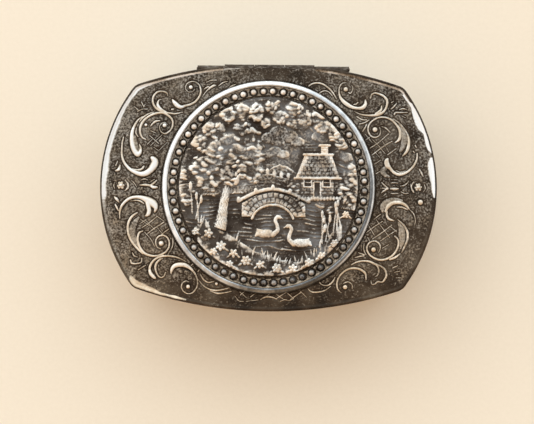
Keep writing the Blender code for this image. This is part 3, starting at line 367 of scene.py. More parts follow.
    [(394.1, 236, 1.4), (397.3, 239.2, 2), (398, 243.7, 2.2), (396.4, 249.2, 2.2), (392.7, 254.6, 2.2),
     (387.3, 258.3, 2.4), (380.9, 259.9, 2.4), (374.5, 258.3, 2.2), (369.1, 254.6, 2), (366.4, 249.2, 2),
     (367.3, 244.6, 1.8), (370.9, 241.5, 1.8), (375.5, 241.2, 1.8), (379.1, 244.2, 1.6), (379.8, 248.3, 1.4),
     (378.2, 252.4, 1)],
    [(363.6, 243.7, 1.3), (363.2, 249.2, 1.4), (365.5, 254.6, 1.1)],
    [(350.9, 264.6, 1.4), (356.4, 261.9, 1.8), (362.7, 260.8, 2), (369.1, 261.5, 2.2), (374.5, 263.7, 2),
     (380, 266, 2), (384.1, 269.2, 2.2), (385.9, 274.6, 2.4), (384.1, 279.2, 2.4), (381.4, 281.9, 1.8),
     (377.3, 281.5, 1.8), (374.5, 283.7, 1.8), (371.4, 284.2, 1.4), (370.4, 280.6, 1)],
    [(371.8, 263.3, 1.4), (376.4, 265.5, 1.8), (378.2, 270.1, 2), (377.3, 274.6, 1.8), (374.5, 276.9, 1.1)],
    [(365.5, 279.4, 1.6), (365, 273.7, 2.4), (361.8, 270.5, 2.6), (357.3, 268.5, 2.4), (351.8, 268.1, 2.4),
     (346.4, 269.6, 2.2), (341.4, 273.3, 2), (337.7, 278.3, 1.8), (336.4, 283.7, 1.8), (337.3, 289.2, 1.5),
     (340.6, 292.6, 0.9)],
    [(343, 283.4, 1), (345, 282.2, 1.4), (348.2, 281.9, 1.4), (351.4, 284.6, 1.4), (351.8, 288.6, 1)],
    [(334.7, 276.9, 1.1), (331.8, 281.9, 1.8), (327.3, 285.1, 1.6), (321.8, 284.6, 1.4), (318.4, 281.5, 1)],
    [(330.2, 286.1, 1), (324.5, 290.1, 1.4), (317.3, 291.9, 1.8), (310.9, 291.5, 1.4), (307.5, 288.3, 1)],
    [(357.8, 252.6, 0.9), (363.6, 254.6, 1.4)], [(354.3, 257.6, 1), (359.4, 256.2, 1.5), (364, 255.8, 1.1)],
    [(392, 268, 0.9), (397, 265.6, 1.1)], [(393.6, 272.4, 0.9), (399, 271, 1.1)],
    [(395.6, 277.6, 0.9), (400.6, 277.8, 1)],
    [(260, 299.4, 1.1), (264, 297.2, 1.6), (268.4, 296.5, 1.8), (272.6, 297.2, 1.6), (276.2, 298.9, 1.1)],
    [(280, 301, 1.1), (284.4, 299.4, 1.4), (289, 300.4, 1.3), (293, 298.4, 1)],
    [(139.6, 184.9, 1.6), (145, 184.7, 2.6), (149.6, 185.4, 2.4), (153, 187, 3.6), (156.4, 187.2, 2.4)],
    [(149.6, 185.4, 1.6), (153.3, 183, 2), (156.3, 180.3, 1.4)],
    [(140.6, 179.8, 0.9), (144, 178.8, 1.3), (147.6, 179.8, 0.9)], [(150.6, 181, 0.9), (154, 179.2, 1.2)],
    [(131, 180.4, 0.9), (134, 183, 1.2), (136.4, 187, 0.9)],
    [(125, 180.8, 1), (127.6, 183.4, 1.8), (127.9, 187.4, 1.8), (125.6, 190, 1)],
    [(114.4, 182.2, 0.8), (113.4, 185.4, 1.2), (114.4, 188.6, 0.8)],
    [(390.6, 188.7, 2), (394.1, 188.9, 3.2), (397.8, 188.7, 2)],
    [(390.6, 182.9, 1.2), (394.1, 182.6, 1.8), (397.8, 182.9, 1.2)],
    [(390.8, 193.3, 1), (394.1, 193.5, 1.7), (397.8, 193.2, 1)], [(391, 179.6, 0.9), (397, 179.6, 1.2)],
    [(381.2, 182.2, 1), (384, 185, 1.5), (387.6, 188.4, 1.8)],
    [(380.8, 192.9, 1.1), (383.8, 190.6, 1.8), (387.6, 188.4, 2)],
    [(380, 188, 0.9), (383.6, 188.2, 1.3), (387.6, 188.4, 1.4)], [(381.8, 197, 0.8), (385.6, 193.6, 1.1)],
    [(400, 186, 1), (403.6, 185.4, 1.3), (406.6, 183.4, 1.3), (408.8, 180.8, 0.9)],
    [(400.4, 191.6, 0.9), (404.4, 193.4, 1.3), (408, 193.2, 0.9)],
    [(410.4, 184, 0.9), (411.4, 188, 1.3), (413.6, 191.4, 0.9)],
    [(424.2, 184.6, 0.9), (425, 188.4, 1.2), (423, 192, 0.9)],
]
# Broad, duller bodies of the leaves and scroll heads
BODY_PIXELS = [
    [(138.4, 217.4, 2), (134, 223.4, 6), (132, 230.6, 7), (133.6, 238.6, 6), (137.4, 245, 4),
     (142, 250.4, 2)],
    [(398, 222.4, 2), (401.2, 229.2, 6.4), (401.6, 235.5, 7.6), (401.6, 241.9, 5.4), (400, 248.4, 2)],
    [(399.4, 124.3, 2), (403.2, 132.8, 4.6), (404.2, 139.5, 6.4), (402.8, 146.2, 5.4), (400, 151.3, 2.4)],
    [(401.8, 200.5, 2), (394.5, 199.4, 4), (387.3, 201.7, 6.4), (382.5, 206.2, 6.4), (382.3, 211.4, 2.4)],
    [(385.4, 167.6, 4), (382.9, 171, 6.4), (385, 174.9, 4.4), (389, 176.6, 2)],
    [(134, 136, 3), (134.6, 142, 5), (136, 147.6, 5), (138, 152, 3)],
]
# Fine crossed lines behind the scrolls
LATTICE_PIXELS = [
    [(149.2, 135.3, 1), (158.3, 143.3, 1.2)], [(150, 145.3, 0.9), (161.7, 134.5, 1.1)],
    [(146.7, 144.1, 0.9), (151.7, 139.1, 1)], [(153.3, 147, 0.9), (158.8, 151.2, 0.9)],
    [(158, 150.6, 0.9), (166.7, 142, 0.9)], [(150, 130.3, 0.9), (155.8, 132.8, 0.8)],
    [(141.8, 227.6, 0.9), (149.1, 222.6, 1.2), (156.4, 216.7, 1)],
    [(147.3, 233.5, 1), (154.5, 228.1, 1.4), (163.8, 222, 1.4)], [(161.8, 234, 1.3), (169.1, 228.5, 1.3)],
    [(140, 219, 0.8), (149.5, 225.9, 0.9)], [(145.5, 220.4, 0.9), (154.5, 229.5, 0.9)],
    [(144.5, 232.2, 0.9), (150.9, 239.5, 1), (154.5, 246.7, 0.9)], [(156.4, 215.8, 0.9), (163.6, 221, 0.9)],
    [(157, 227.4, 0.8), (163, 234.8, 0.8)], [(139.6, 223.6, 0.8), (146, 219.4, 0.9)],
    [(373.6, 219.2, 1.1), (380, 214.2, 1.2)],
    [(365.5, 232.8, 1.1), (372.7, 227.4, 1.2), (382.2, 221.2, 1.2)],
    [(371.8, 239.2, 1.2), (381.8, 232.4, 1.3), (391.3, 225.2, 1.2)],
    [(380, 241, 1), (389.1, 234.6, 1.2), (396.4, 230.1, 1)], [(381.8, 248.3, 0.9), (388.4, 244.4, 1)],
    [(366.4, 222.8, 0.9), (374, 235.2, 1)], [(375.5, 219.2, 0.9), (389.1, 237.4, 0.9)],
    [(389.6, 226.1, 0.9), (396.4, 231.9, 0.9)], [(367.3, 237.4, 1.1), (369.2, 241.2, 0.9)],
    [(370, 147.8, 1.1), (378.3, 142.4, 1.2), (388.5, 133.5, 1.1)],
    [(371.7, 154.9, 1.2), (383.3, 146.2, 1.4), (391.9, 141, 1.2)],
    [(374.2, 164.1, 1.1), (380.3, 160.1, 1.2)], [(387.3, 154.7, 1.2), (396, 148.5, 1.4)],
    [(375.8, 173.7, 1), (380.2, 171, 1.1)], [(365, 133.7, 0.9), (371.9, 142.2, 0.9)],
    [(371.7, 138.7, 0.8), (378.3, 145.3, 0.9), (385, 153.7, 0.8)],
    [(382.5, 141.2, 0.8), (388.5, 151.4, 0.9)], [(375, 152, 0.8), (380, 157.8, 0.8)],
    [(365.6, 139.7, 0.9), (369.4, 136.9, 0.9)], [(240, 294.8, 1), (244.6, 291, 1.1)],
    [(250, 296.8, 1), (256.4, 292, 1.2)], [(239.6, 291.6, 0.8), (246, 297.2, 0.9)],
    [(265.8, 296.2, 0.9), (270.2, 292.8, 1.1)], [(275.8, 298.4, 1), (285.4, 292.2, 1.2)],
    [(290, 299.2, 1.1), (300.4, 292.2, 1.2)], [(275.8, 293.8, 0.8), (282.2, 298.4, 0.9)],
    [(286, 291.8, 0.9), (293.2, 298.4, 0.9)], [(235, 296, 0.9), (238.4, 300.4, 1), (243, 301.2, 0.9)],
    [(246, 301, 0.8), (258, 299.6, 0.9)], [(300, 291, 0.8), (306, 297, 0.9)],
]
# Small bosses, as (x, y, radius) in pixels
BOSS_PIXELS = [
    (164, 124.9, 2.3), (190.2, 86.6, 2.2), (145.4, 124.5, 1.7), (161.1, 243.3, 2.9), (188, 286.4, 2.3),
    (216.4, 283.5, 1.9), (374.8, 129.3, 2.8), (345.6, 88.8, 2.5), (373, 249.6, 2.7), (344.6, 286.9, 2.5),
    (420, 202.2, 2.9),
]
ROSETTE_PIXELS = [(120.4, 185.2), (418.0, 187.2)]
ROSETTE_RADIUS = 0.00088
ROSETTE_PETALS = 6
# Ground stretches darkened as painted shade, deepest before the hinge, as (x, y, reach, depth) in pixels
SHADED_GROUND_PIXELS = [
    (312, 77, 22, 0.17), (288, 72, 22, 0.14), (262, 71, 22, 0.1), (236, 72, 20, 0.07), (185, 290, 22, 0.1),
    (214, 296, 20, 0.1), (272, 301, 20, 0.1), (372, 288, 24, 0.12), (405, 236, 26, 0.08),
    (404, 136, 16, 0.08), (160, 280, 16, 0.08),
]
STROKE_CROWN_SHARE = 0.72
STROKE_HEIGHT = 0.00036
BODY_HEIGHT = 0.00014
LATTICE_HEIGHT = 0.00007
GROUND_SINK = 0.00012
GROUND_GRAIN = 0.000026
GROUND_GRAIN_SIZE = 0.00030
GROUND_PIT_SIZE = 0.00039
DITCH_WIDTH = 0.00040
MOAT_WIDTH = 0.00050
MOAT_FLAT_WIDTH = 0.00010
OPEN_GROUND_EDGE = 0.0003

# Bright edge stretches, worn and painted highlight: how softly each ends, then (x, y, width, strength) in
# pixels
EDGE_WEAR_AND_HIGHLIGHT_PIXELS = [
    (1.1, [(151, 83.6, 1, 0.6), (145.2, 85.1, 1.8, 0.9), (137.4, 88.6, 2.8, 1), (132.9, 93.2, 3.2, 1),
           (130.5, 96.2, 3.6, 1), (126.4, 102.1, 3.8, 1), (122.2, 109.7, 3.4, 1), (118.1, 118.2, 4, 1),
           (114.7, 126.6, 4.8, 1), (111.4, 135.8, 4.2, 1), (108.8, 145, 4.8, 1), (106.7, 153.5, 4.6, 1),
           (105.1, 164.3, 5.6, 1), (103.8, 174.4, 5.4, 1), (103, 182.8, 5, 1), (103.2, 191.3, 4.6, 1),
           (103.9, 195.9, 4, 0.9), (103.7, 202.3, 2.2, 0.5), (105.4, 214.2, 1.6, 0.3)]),
    (0.75, [(130.6, 276, 1.4, 0.7), (133.4, 280.2, 3.6, 0.85), (136.8, 283.4, 4.6, 0.88),
            (143.2, 286, 4.6, 0.78), (148.6, 288.3, 3.8, 0.85), (154.2, 290.3, 2.8, 0.95),
            (160, 292.5, 1.8, 1), (164.3, 293.4, 1.4, 1)]),
    (0.5, [(164.3, 293.3, 1.2, 0.9), (169, 294.6, 1, 0.6), (174.9, 296, 1.5, 1), (181, 297.5, 1.1, 0.8),
           (186, 298.6, 0.8, 0.4)]),
    (0.45, [(403.4, 94.6, 1.3, 0.9), (408.6, 102, 1, 0.9), (412.6, 107.1, 2.6, 1), (415, 113.3, 4.6, 1),
            (418.2, 120, 6.6, 1), (421.4, 127.6, 5.2, 1), (423.9, 132.6, 2.2, 1), (425.9, 136.8, 3.4, 1),
            (427.4, 143.6, 3.8, 1), (429.3, 149.4, 2.4, 1), (430.9, 154.2, 0.8, 0.8)]),
    (0.6, [(430.8, 158.9, 2.8, 1), (430.9, 163.6, 5.8, 1), (432, 170.3, 6.6, 1), (433.1, 177, 7, 1),
           (433.6, 182, 5.4, 1), (434.3, 190, 4.6, 1), (434.3, 196.4, 3.4, 1)]),
]
EDGE_BRIGHT_REACH = 0.0020
EDGE_BRIGHT_RAGGEDNESS = 0.30
EDGE_BRIGHT_RAGGEDNESS_SIZE = 0.0016
# Thin bright line along the back of the rim, rubbed and painted highlight, as (x, strength) in pixels
BACK_LINE_PIXELS = [
    (132, 0.9), (144, 0.86), (155, 0.6), (165, 0.76), (176, 0.86), (187, 0.8), (198, 0.6), (209, 0.62),
    (218, 0.44), (230, 0.42), (241, 0.34), (252, 0.16), (262, 0.02), (310, 0.05), (320, 0.26), (330, 0.62),
    (340, 0.4), (351, 0.16), (362, 0.32), (373, 0.54), (383, 0.54), (394, 0.46), (401, 0.62), (406, 0.66),
    (412, 0.3),
]
BACK_LINE_START = 0.00070
BACK_LINE_END = 0.00108
BACK_LINE_SOFTNESS = 0.00012
BACK_LINE_PATCH = 0.0016

# Camera and light
WINDOW_PLACE = (-0.30, 0.26, 0.38)
WINDOW_SIZE = (0.34, 0.26)
WINDOW_POWER = 0.12
WINDOW_COLOR = (1.0, 0.985, 0.96)
# For red, green and blue: the dome's light, and how it grows towards the right, the back and the top
DOME_LIGHT = [
    (1.655, (-0.341, 0.675, -0.80)), (1.646, (-0.332, 1.017, -0.80)), (1.627, (-0.320, 1.301, -0.80)),
]
LEAST_DOME_LIGHT = 0.05
DOME_STRENGTH = 0.92
CAMERA_DISTANCE = 0.380
CAMERA_ELEVATION = math.radians(87.2)
CAMERA_LENS = 113.75
CAMERA_SENSOR = 36.0
CAMERA_CLIP = (0.01, 10.0)
OBJECT_PIXEL = (268.2, 187.0)
FLOOR_REACH = 2.0


# Numbers over flat points


def smoothstep(low, high, value):
    share = np.clip((value - low) / (high - low), 0.0, 1.0)
    return share * share * (3 - 2 * share)


def value_noise(x, y, size, seed):
    """Smooth noise from -1 to 1 whose features have about this size."""
    lattice = np.random.default_rng(seed).uniform(-1.0, 1.0, (256, 256))
    column = np.floor(x / size).astype(int)
    row = np.floor(y / size).astype(int)
    across = smoothstep(0.0, 1.0, x / size - column)
    along = smoothstep(0.0, 1.0, y / size - row)
    corners = [lattice[(column + i) % 256, (row + j) % 256] for j in (0, 1) for i in (0, 1)]
    near = corners[0] * (1 - across) + corners[1] * across
    far = corners[2] * (1 - across) + corners[3] * across
    return near * (1 - along) + far * along


def fractal_noise(x, y, size, seed, octaves=3):
    layers = [value_noise(x, y, size / 2**octave, seed + octave) / 2**octave for octave in range(octaves)]
    return sum(layers) / (2 - 2 ** (1 - octaves))


def cell_distance(x, y, size, seed):
    """Distance to the nearest of scattered points in cell sizes, and that cell's random number."""
    picks = np.random.default_rng(seed).uniform(0.0, 1.0, (64, 64, 3))
    column = np.floor(x / size).astype(int)
    row = np.floor(y / size).astype(int)
    nearest = np.full_like(x, 9.0)
    chosen = np.zeros_like(x)
    for i in (-1, 0, 1):
        for j in (-1, 0, 1):
            pick = picks[(column + i) % 64, (row + j) % 64]
            distance = np.hypot(column + i + pick[..., 0] - x / size, row + j + pick[..., 1] - y / size)
            chosen = np.where(distance < nearest, pick[..., 2], chosen)
            nearest = np.minimum(nearest, distance)
    return nearest, chosen


def blurred(values, reach):
    """A grid averaged over a square of neighbours."""
    span = 2 * reach + 1
    for axis in (0, 1):
        width = [(reach + 1, reach) if index == axis else (0, 0) for index in (0, 1)]
        sums = np.cumsum(np.pad(values, width, mode="edge"), axis=axis)
        places = np.arange(values.shape[axis])
        values = (np.take(sums, places + span, axis=axis) - np.take(sums, places, axis=axis)) / span
    return values


def smooth_path(points, steps=7):
    """Points on a smooth curve through these ones, whatever they carry besides x and y."""
    given = np.array(points, float)
    padded = np.vstack([2 * given[0] - given[1], given, 2 * given[-1] - given[-2]])
    made = []
    for before, start, end, after in zip(padded, padded[1:], padded[2:], padded[3:]):
        for t in np.arange(steps) / steps:
            bend = (2 * before - 5 * start + 4 * end - after) * t**2
            twist = (3 * start - before - 3 * end + after) * t**3
            made.append(0.5 * (2 * start + (end - before) * t + bend + twist))
    return np.array([*made, given[-1]])


def sides_of(polygon):
    return zip(polygon, polygon[1:] + polygon[:1])


def inside(polygon, x, y):
    """Whether each point lies in the polygon."""
    found = np.zeros(x.shape, bool)
    for (x1, y1), (x2, y2) in sides_of(polygon):
        if y1 != y2:
            found ^= ((y1 > y) != (y2 > y)) & (x < (x2 - x1) * (y - y1) / (y2 - y1) + x1)
    return found


def edge_distance(polygon, x, y):
    """Distance to the polygon's edge, positive inside."""
    nearest = np.full(x.shape, 1.0)
    for (x1, y1), (x2, y2) in sides_of(polygon):
        length = (x2 - x1) ** 2 + (y2 - y1) ** 2
        share = np.clip(((x - x1) * (x2 - x1) + (y - y1) * (y2 - y1)) / length, 0.0, 1.0)
        nearest = np.minimum(nearest, np.hypot(x - x1 - share * (x2 - x1), y - y1 - share * (y2 - y1)))
    return np.where(inside(polygon, x, y), nearest, -nearest)


def line_distance(points, x, y):
    """Distance from each place to a line of (x, y, half width) points, and the half width there."""
    start = points[:-1, :, None]
    along = points[1:, :, None] - start
    dx = x - start[:, 0]
    dy = y - start[:, 1]
    length = np.maximum(along[:, 0] ** 2 + along[:, 1] ** 2, 1e-18)
    share = np.clip((dx * along[:, 0] + dy * along[:, 1]) / length, 0.0, 1.0)
    distance = np.hypot(dx - share * along[:, 0], dy - share * along[:, 1])
    radius = np.maximum(start[:, 2] + along[:, 2] * share, 1e-9)
    best = (distance - radius).argmin(axis=0)[None]
    return np.take_along_axis(distance, best, 0)[0], np.take_along_axis(radius, best, 0)[0]


def within(x, y, low, high):
    """Which places lie in the rectangle between two corners."""
    return np.nonzero((x > low[0]) & (x < high[0]) & (y > low[1]) & (y < high[1]))


def on_ellipse(x, y, across, along, angle):
    """The point at this angle of an ellipse round a place."""
    return x + across * math.cos(angle), y + along * math.sin(angle)


def unit_circle(count):
    turn = np.linspace(0.0, 2 * math.pi, count, endpoint=False)
    return np.stack([np.cos(turn), np.sin(turn)], axis=1)


class Relief:
    """Heights over flat points, raised form by form; crest says how near a form's top a point is."""

    def __init__(self, x, y):
        self.x = x
        self.y = y
        self.height = np.zeros_like(x)
        self.crest = np.zeros_like(x)
        self.gap = np.full_like(x, 1.0)

    def fill(self, marked, height):
        self.height = np.where(marked, height, self.height)

    def lift(self, where, height, crest):
        taller = height > self.height[where]
        self.height[where] = np.where(taller, height, self.height[where])
        self.crest[where] = np.where(taller, crest, self.crest[where])

    def stroke(self, points, crown, base=0.0, most=1.0):
        """A rounded ridge along points of (x, y, half width), no taller than most."""
        points = np.array(points, float)
        reach = 2 * points[:, 2].max() + TUCK
        where = within(self.x, self.y, points[:, :2].min(axis=0) - reach, points[:, :2].max(axis=0) + reach)
        distance, radius = line_distance(points, self.x[where], self.y[where])
        crest = np.clip(1 - (distance / radius) ** 2, 0.0, 1.0)
        rise = np.minimum(crown * radius, most) * np.sqrt(crest)
        self.lift(where, np.where(crest > 0, base + rise, 0.0), crest)
        self.gap[where] = np.minimum(self.gap[where], distance - radius)

    def curve(self, points, crown, base):
        """A stroke along the smooth line through a few points."""
        self.stroke(smooth_path(points), crown, base)

    def dome(self, x, y, radii, height, base=0.0, turn=0.0):
        """A rounded boss with two radii."""
        reach = 2 * max(radii)
        where = within(self.x, self.y, (x - reach, y - reach), (x + reach, y + reach))
        dx = self.x[where] - x
        dy = self.y[where] - y
        u = (dx * math.cos(turn) + dy * math.sin(turn)) / radii[0]
        v = (dy * math.cos(turn) - dx * math.sin(turn)) / radii[1]
        crest = np.clip(1 - u**2 - v**2, 0.0, 1.0)
        self.lift(where, np.where(crest > 0, base + height * np.sqrt(crest), 0.0), crest)
        self.gap[where] = np.minimum(self.gap[where], (np.hypot(u, v) - 1) * min(radii))


# Outline and meshes


def outline(inset):
    """The lid's outline this far inside its edge, anticlockwise from +X, always with as many points."""
    end_centre = np.array([LID_LENGTH / 2 - END_BOW_RADIUS, 0.0])
    side_centre = np.array([0.0, LID_DEPTH / 2 - SIDE_BOW_RADIUS])
    corner_radius = max(CORNER_RADIUS - inset, LEAST_CORNER_RADIUS)
    end_radius = END_BOW_RADIUS - inset
    side_radius = SIDE_BOW_RADIUS - inset
    corner = circle_crossing(end_centre, end_radius - corner_radius, side_centre, side_radius - corner_radius)
    end_angle = math.atan2(*(corner - end_centre)[::-1])
    side_angle = math.atan2(*(corner - side_centre)[::-1])
    arcs = [
        (end_centre, end_radius, np.linspace(0.0, end_angle, END_STEPS, endpoint=False)),
        (corner, corner_radius, np.linspace(end_angle, side_angle, CORNER_STEPS, endpoint=False)),
        (side_centre, side_radius, np.linspace(side_angle, math.pi / 2, SIDE_STEPS + 1)),
    ]
    quarter = np.vstack([
        centre + radius * np.stack([np.cos(turn), np.sin(turn)], axis=1) for centre, radius, turn in arcs
    ])
    back = np.vstack([quarter, (quarter * (-1, 1))[-2::-1]])
    return np.vstack([back, (back * (1, -1))[-2:0:-1]])


def circle_crossing(first, first_radius, second, second_radius):
    """Where two circles cross in the quarter with both coordinates positive."""
    between = second - first
    distance = math.hypot(*between)
    along = (first_radius**2 - second_radius**2 + distance**2) / (2 * distance)
    across = math.sqrt(first_radius**2 - along**2)
    direction = between / distance
    return first + direction * along + np.array([-direction[1], direction[0]]) * across


def grid_faces(rows, columns, wrap_rows=False, wrap_columns=False):
    """Quads of a grid of points, and the place of each of their corners on the unit square."""
    row_count = rows if wrap_rows else rows - 1
    column_count = columns if wrap_columns else columns - 1
    row, column = np.meshgrid(np.arange(row_count), np.arange(column_count), indexing="ij")
    quads = []
    places = []
    for down, right in ((0, 0), (0, 1), (1, 1), (1, 0)):
        quads.append(((row + down) % rows) * columns + (column + right) % columns)
        places.append(np.stack([(column + right) / column_count, (row + down) / row_count], axis=-1))
    return np.stack(quads, axis=-1).reshape(-1, 4), np.stack(places, axis=-2).reshape(-1, 4, 2)


def link_object(name, data):
    obj = bpy.data.objects.new(name, data)
    bpy.context.scene.collection.objects.link(obj)
    return obj


def mesh_object(name, points, quads, places, caps=(), cap_places=(), layers=None, normals=None):
    """An object from quads and many-sided caps, with its outside facing out and a map for baking."""
    points = points.reshape(-1, 3)
    corners = points[quads]
    volume = np.einsum("ij,ij->i", corners[:, 0], np.cross(corners[:, 1], corners[:, 2])).sum()
    volume += np.einsum("ij,ij->i", corners[:, 0], np.cross(corners[:, 2], corners[:, 3])).sum()
    for cap in caps:
        fan = points[np.array(cap)]
        volume += np.cross(fan[1:-1], fan[2:]).sum(axis=0) @ fan[0]
    step = -1 if volume < 0 else 1
    mesh = bpy.data.meshes.new(name)
    mesh.from_pydata(points.tolist(), [], quads[:, ::step].tolist() + [list(cap)[::step] for cap in caps])
    flat = [places[:, ::step].reshape(-1, 2)] + [np.array(each)[::step] for each in cap_places]
    mesh.uv_layers.new(name="OFBake").data.foreach_set("uv", np.vstack(flat).ravel())
    for layer, values in (layers or {}).items():
        made = mesh.attributes.new(layer, "FLOAT", "POINT")
        made.data.foreach_set("value", values.ravel().astype(np.float32))
    mesh.shade_smooth()
    if normals is not None:
        mesh.normals_split_custom_set_from_vertices(normals.reshape(-1, 3).tolist())
    return link_object(name, mesh)


def swept(profile, stride=1):
    """Rows of points: a closed section of (inset, height) carried round the outline."""
    return np.array([
        np.insert(outline(inset)[::stride], 2, height, axis=1) for inset, height in profile
    ])


def ring_object(name, points, layers=None):
    """An object from rows of points that run round it, the last row joined to the first."""
    quads, places = grid_faces(*points.shape[:2], True, True)
    return mesh_object(name, points, quads, places, layers=layers)


def capped_rings(name, parts, layers=None, cells=8):
    """One object from many short stacks of rings, closed at both ends, each with a cell of the map."""
    rows, columns = parts[0].shape[:2]
    quad, place = grid_faces(rows, columns, wrap_columns=True)
    ring = unit_circle(columns) * 0.007
    quads = []
    places = []
    caps = []
    cap_places = []
    for index in range(len(parts)):
        start = index * rows * columns
        end = start + rows * columns
        cell = np.array([index % cells, index // cells]) / cells
        quads.append(quad + start)
        places.append(cell + place / cells * (0.9, 0.8))
        caps += [range(start, start + columns), range(end - 1, end - columns - 1, -1)]
        cap_places += [cell + ring + (0.02, 0.115), cell + ring + (0.06, 0.115)]
    return mesh_object(name, np.array(parts), np.vstack(quads), np.vstack(places), caps, cap_places, layers)


def with_ends_again(rows):
    """Rows with the last and the first once more, for an underside."""
    return np.concatenate([rows, rows[[-1, 0]]])


def closed_below(top, height):
    """Rows of points with an underside at this height."""
    points = with_ends_again(top)
    points[-2:, :, 2] = height
    return points


def pixel_point(x, y):
    """A place on the lid from a place in the photograph, with the photograph's small turn taken out."""
    dx = (x - LID_MIDDLE_PIXEL[0]) * PIXEL
    dy = (LID_MIDDLE_PIXEL[1] - y) * PIXEL
    return (
        dx * math.cos(PHOTO_TURN) - dy * math.sin(PHOTO_TURN),
        dx * math.sin(PHOTO_TURN) + dy * math.cos(PHOTO_TURN),
    )


def pixel_path(pixels):
    """A smooth line of (x, y, half width) on the lid, and of whatever else its pixels carry."""
    x, y, width, *rest = np.transpose(pixels)
    return smooth_path(np.column_stack([*pixel_point(x, y), width * PIXEL / 2, *rest]))


def edge_wear_and_highlight(x, y):
    """How worn the lid's edge is, with its painted highlight, from 0 to 1, ragged along its sides."""
    wear_and_light = np.zeros_like(x)
    ragged = fractal_noise(x, y, EDGE_BRIGHT_RAGGEDNESS_SIZE, 31) * EDGE_BRIGHT_RAGGEDNESS
    for soft, pixels in EDGE_WEAR_AND_HIGHLIGHT_PIXELS:
        path = pixel_path(pixels)
        where = within(x, y, path[:, :2].min(axis=0) - EDGE_BRIGHT_REACH, path[:, :2].max(axis=0) + EDGE_BRIGHT_REACH)
        distance, radius = line_distance(path[:, :3], x[where], y[where])
        spots = path[::3, :, None]
        nearest = np.hypot(x[where] - spots[:, 0], y[where] - spots[:, 1]).argmin(axis=0)
        share = distance / radius + ragged[where] * min(1.0, soft + 0.5)
        here = spots[nearest, 3, 0] * smoothstep(1.02 + soft * 0.8, 1.02 - soft * 0.6, share)
        wear_and_light[where] = np.maximum(wear_and_light[where], here)
    return wear_and_light


# Materials


def add_node(tree, kind, inputs, **settings):
    """Adds a node. Each input is a number or a colour to set, or a socket to link."""
    node = tree.nodes.new(kind)
    for key, value in settings.items():
        setattr(node, key, value)
    fill_inputs(tree, node, inputs)
    return node


def fill_inputs(tree, node, inputs):
    for key, value in inputs.items():
        if isinstance(value, bpy.types.NodeSocket):
            tree.links.new(value, node.inputs[key])
        else:
            node.inputs[key].default_value = value


def noise_node(tree, place, size, detail=3.0, rough=0.55):
    inputs = {"Vector": place, "Scale": 1.0 / size, "Detail": detail, "Roughness": rough}
    return add_node(tree, "ShaderNodeTexNoise", inputs).outputs["Fac"]


def ramp_node(tree, value, stops):
    """A colour ramp from (place, colour) stops."""
    node = add_node(tree, "ShaderNodeValToRGB", {"Fac": value})
    elements = node.color_ramp.elements
    while len(elements) < len(stops):
        elements.new(1.0)
    for element, (place, color) in zip(elements, stops):
        element.position = place
        element.color = (*color, 1.0)
    return node.outputs["Color"]


def range_node(tree, value, low, high, to_low, to_high):
    inputs = {"Value": value, "From Min": low, "From Max": high, "To Min": to_low, "To Max": to_high}
    return add_node(tree, "ShaderNodeMapRange", inputs).outputs["Result"]


def math_node(tree, operation, first, second):
    return add_node(tree, "ShaderNodeMath", {0: first, 1: second}, operation=operation).outputs[0]


def vector_node(tree, operation, first, second):
    return add_node(tree, "ShaderNodeVectorMath", {0: first, 1: second}, operation=operation).outputs


def mix_node(tree, share, first, second):
    """Two colours mixed. The node's colour sockets share their names with others, so they go by number."""
    inputs = {0: share, 6: first, 7: second}
    return add_node(tree, "ShaderNodeMix", inputs, data_type="RGBA").outputs[2]


def layer_node(tree, layer):
    return add_node(tree, "ShaderNodeAttribute", {}, attribute_name=layer).outputs["Fac"]


def new_material(name):
    made = bpy.data.materials.new(name)
    made.use_nodes = True
    tree = made.node_tree
    return made, tree, add_node(tree, "ShaderNodeTexCoord", {}).outputs["Object"]


def finish_shader(tree, values, bumps=None, strength=0.0, depth=0.0):
    """Fills the shader's inputs and gives it a fine bump."""
    shader = tree.nodes["Principled BSDF"]
    if bumps is not None:
        inputs = {"Strength": strength, "Distance": depth, "Height": bumps}
        values = {**values, "Normal": add_node(tree, "ShaderNodeBump", inputs).outputs["Normal"]}
    fill_inputs(tree, shader, values)


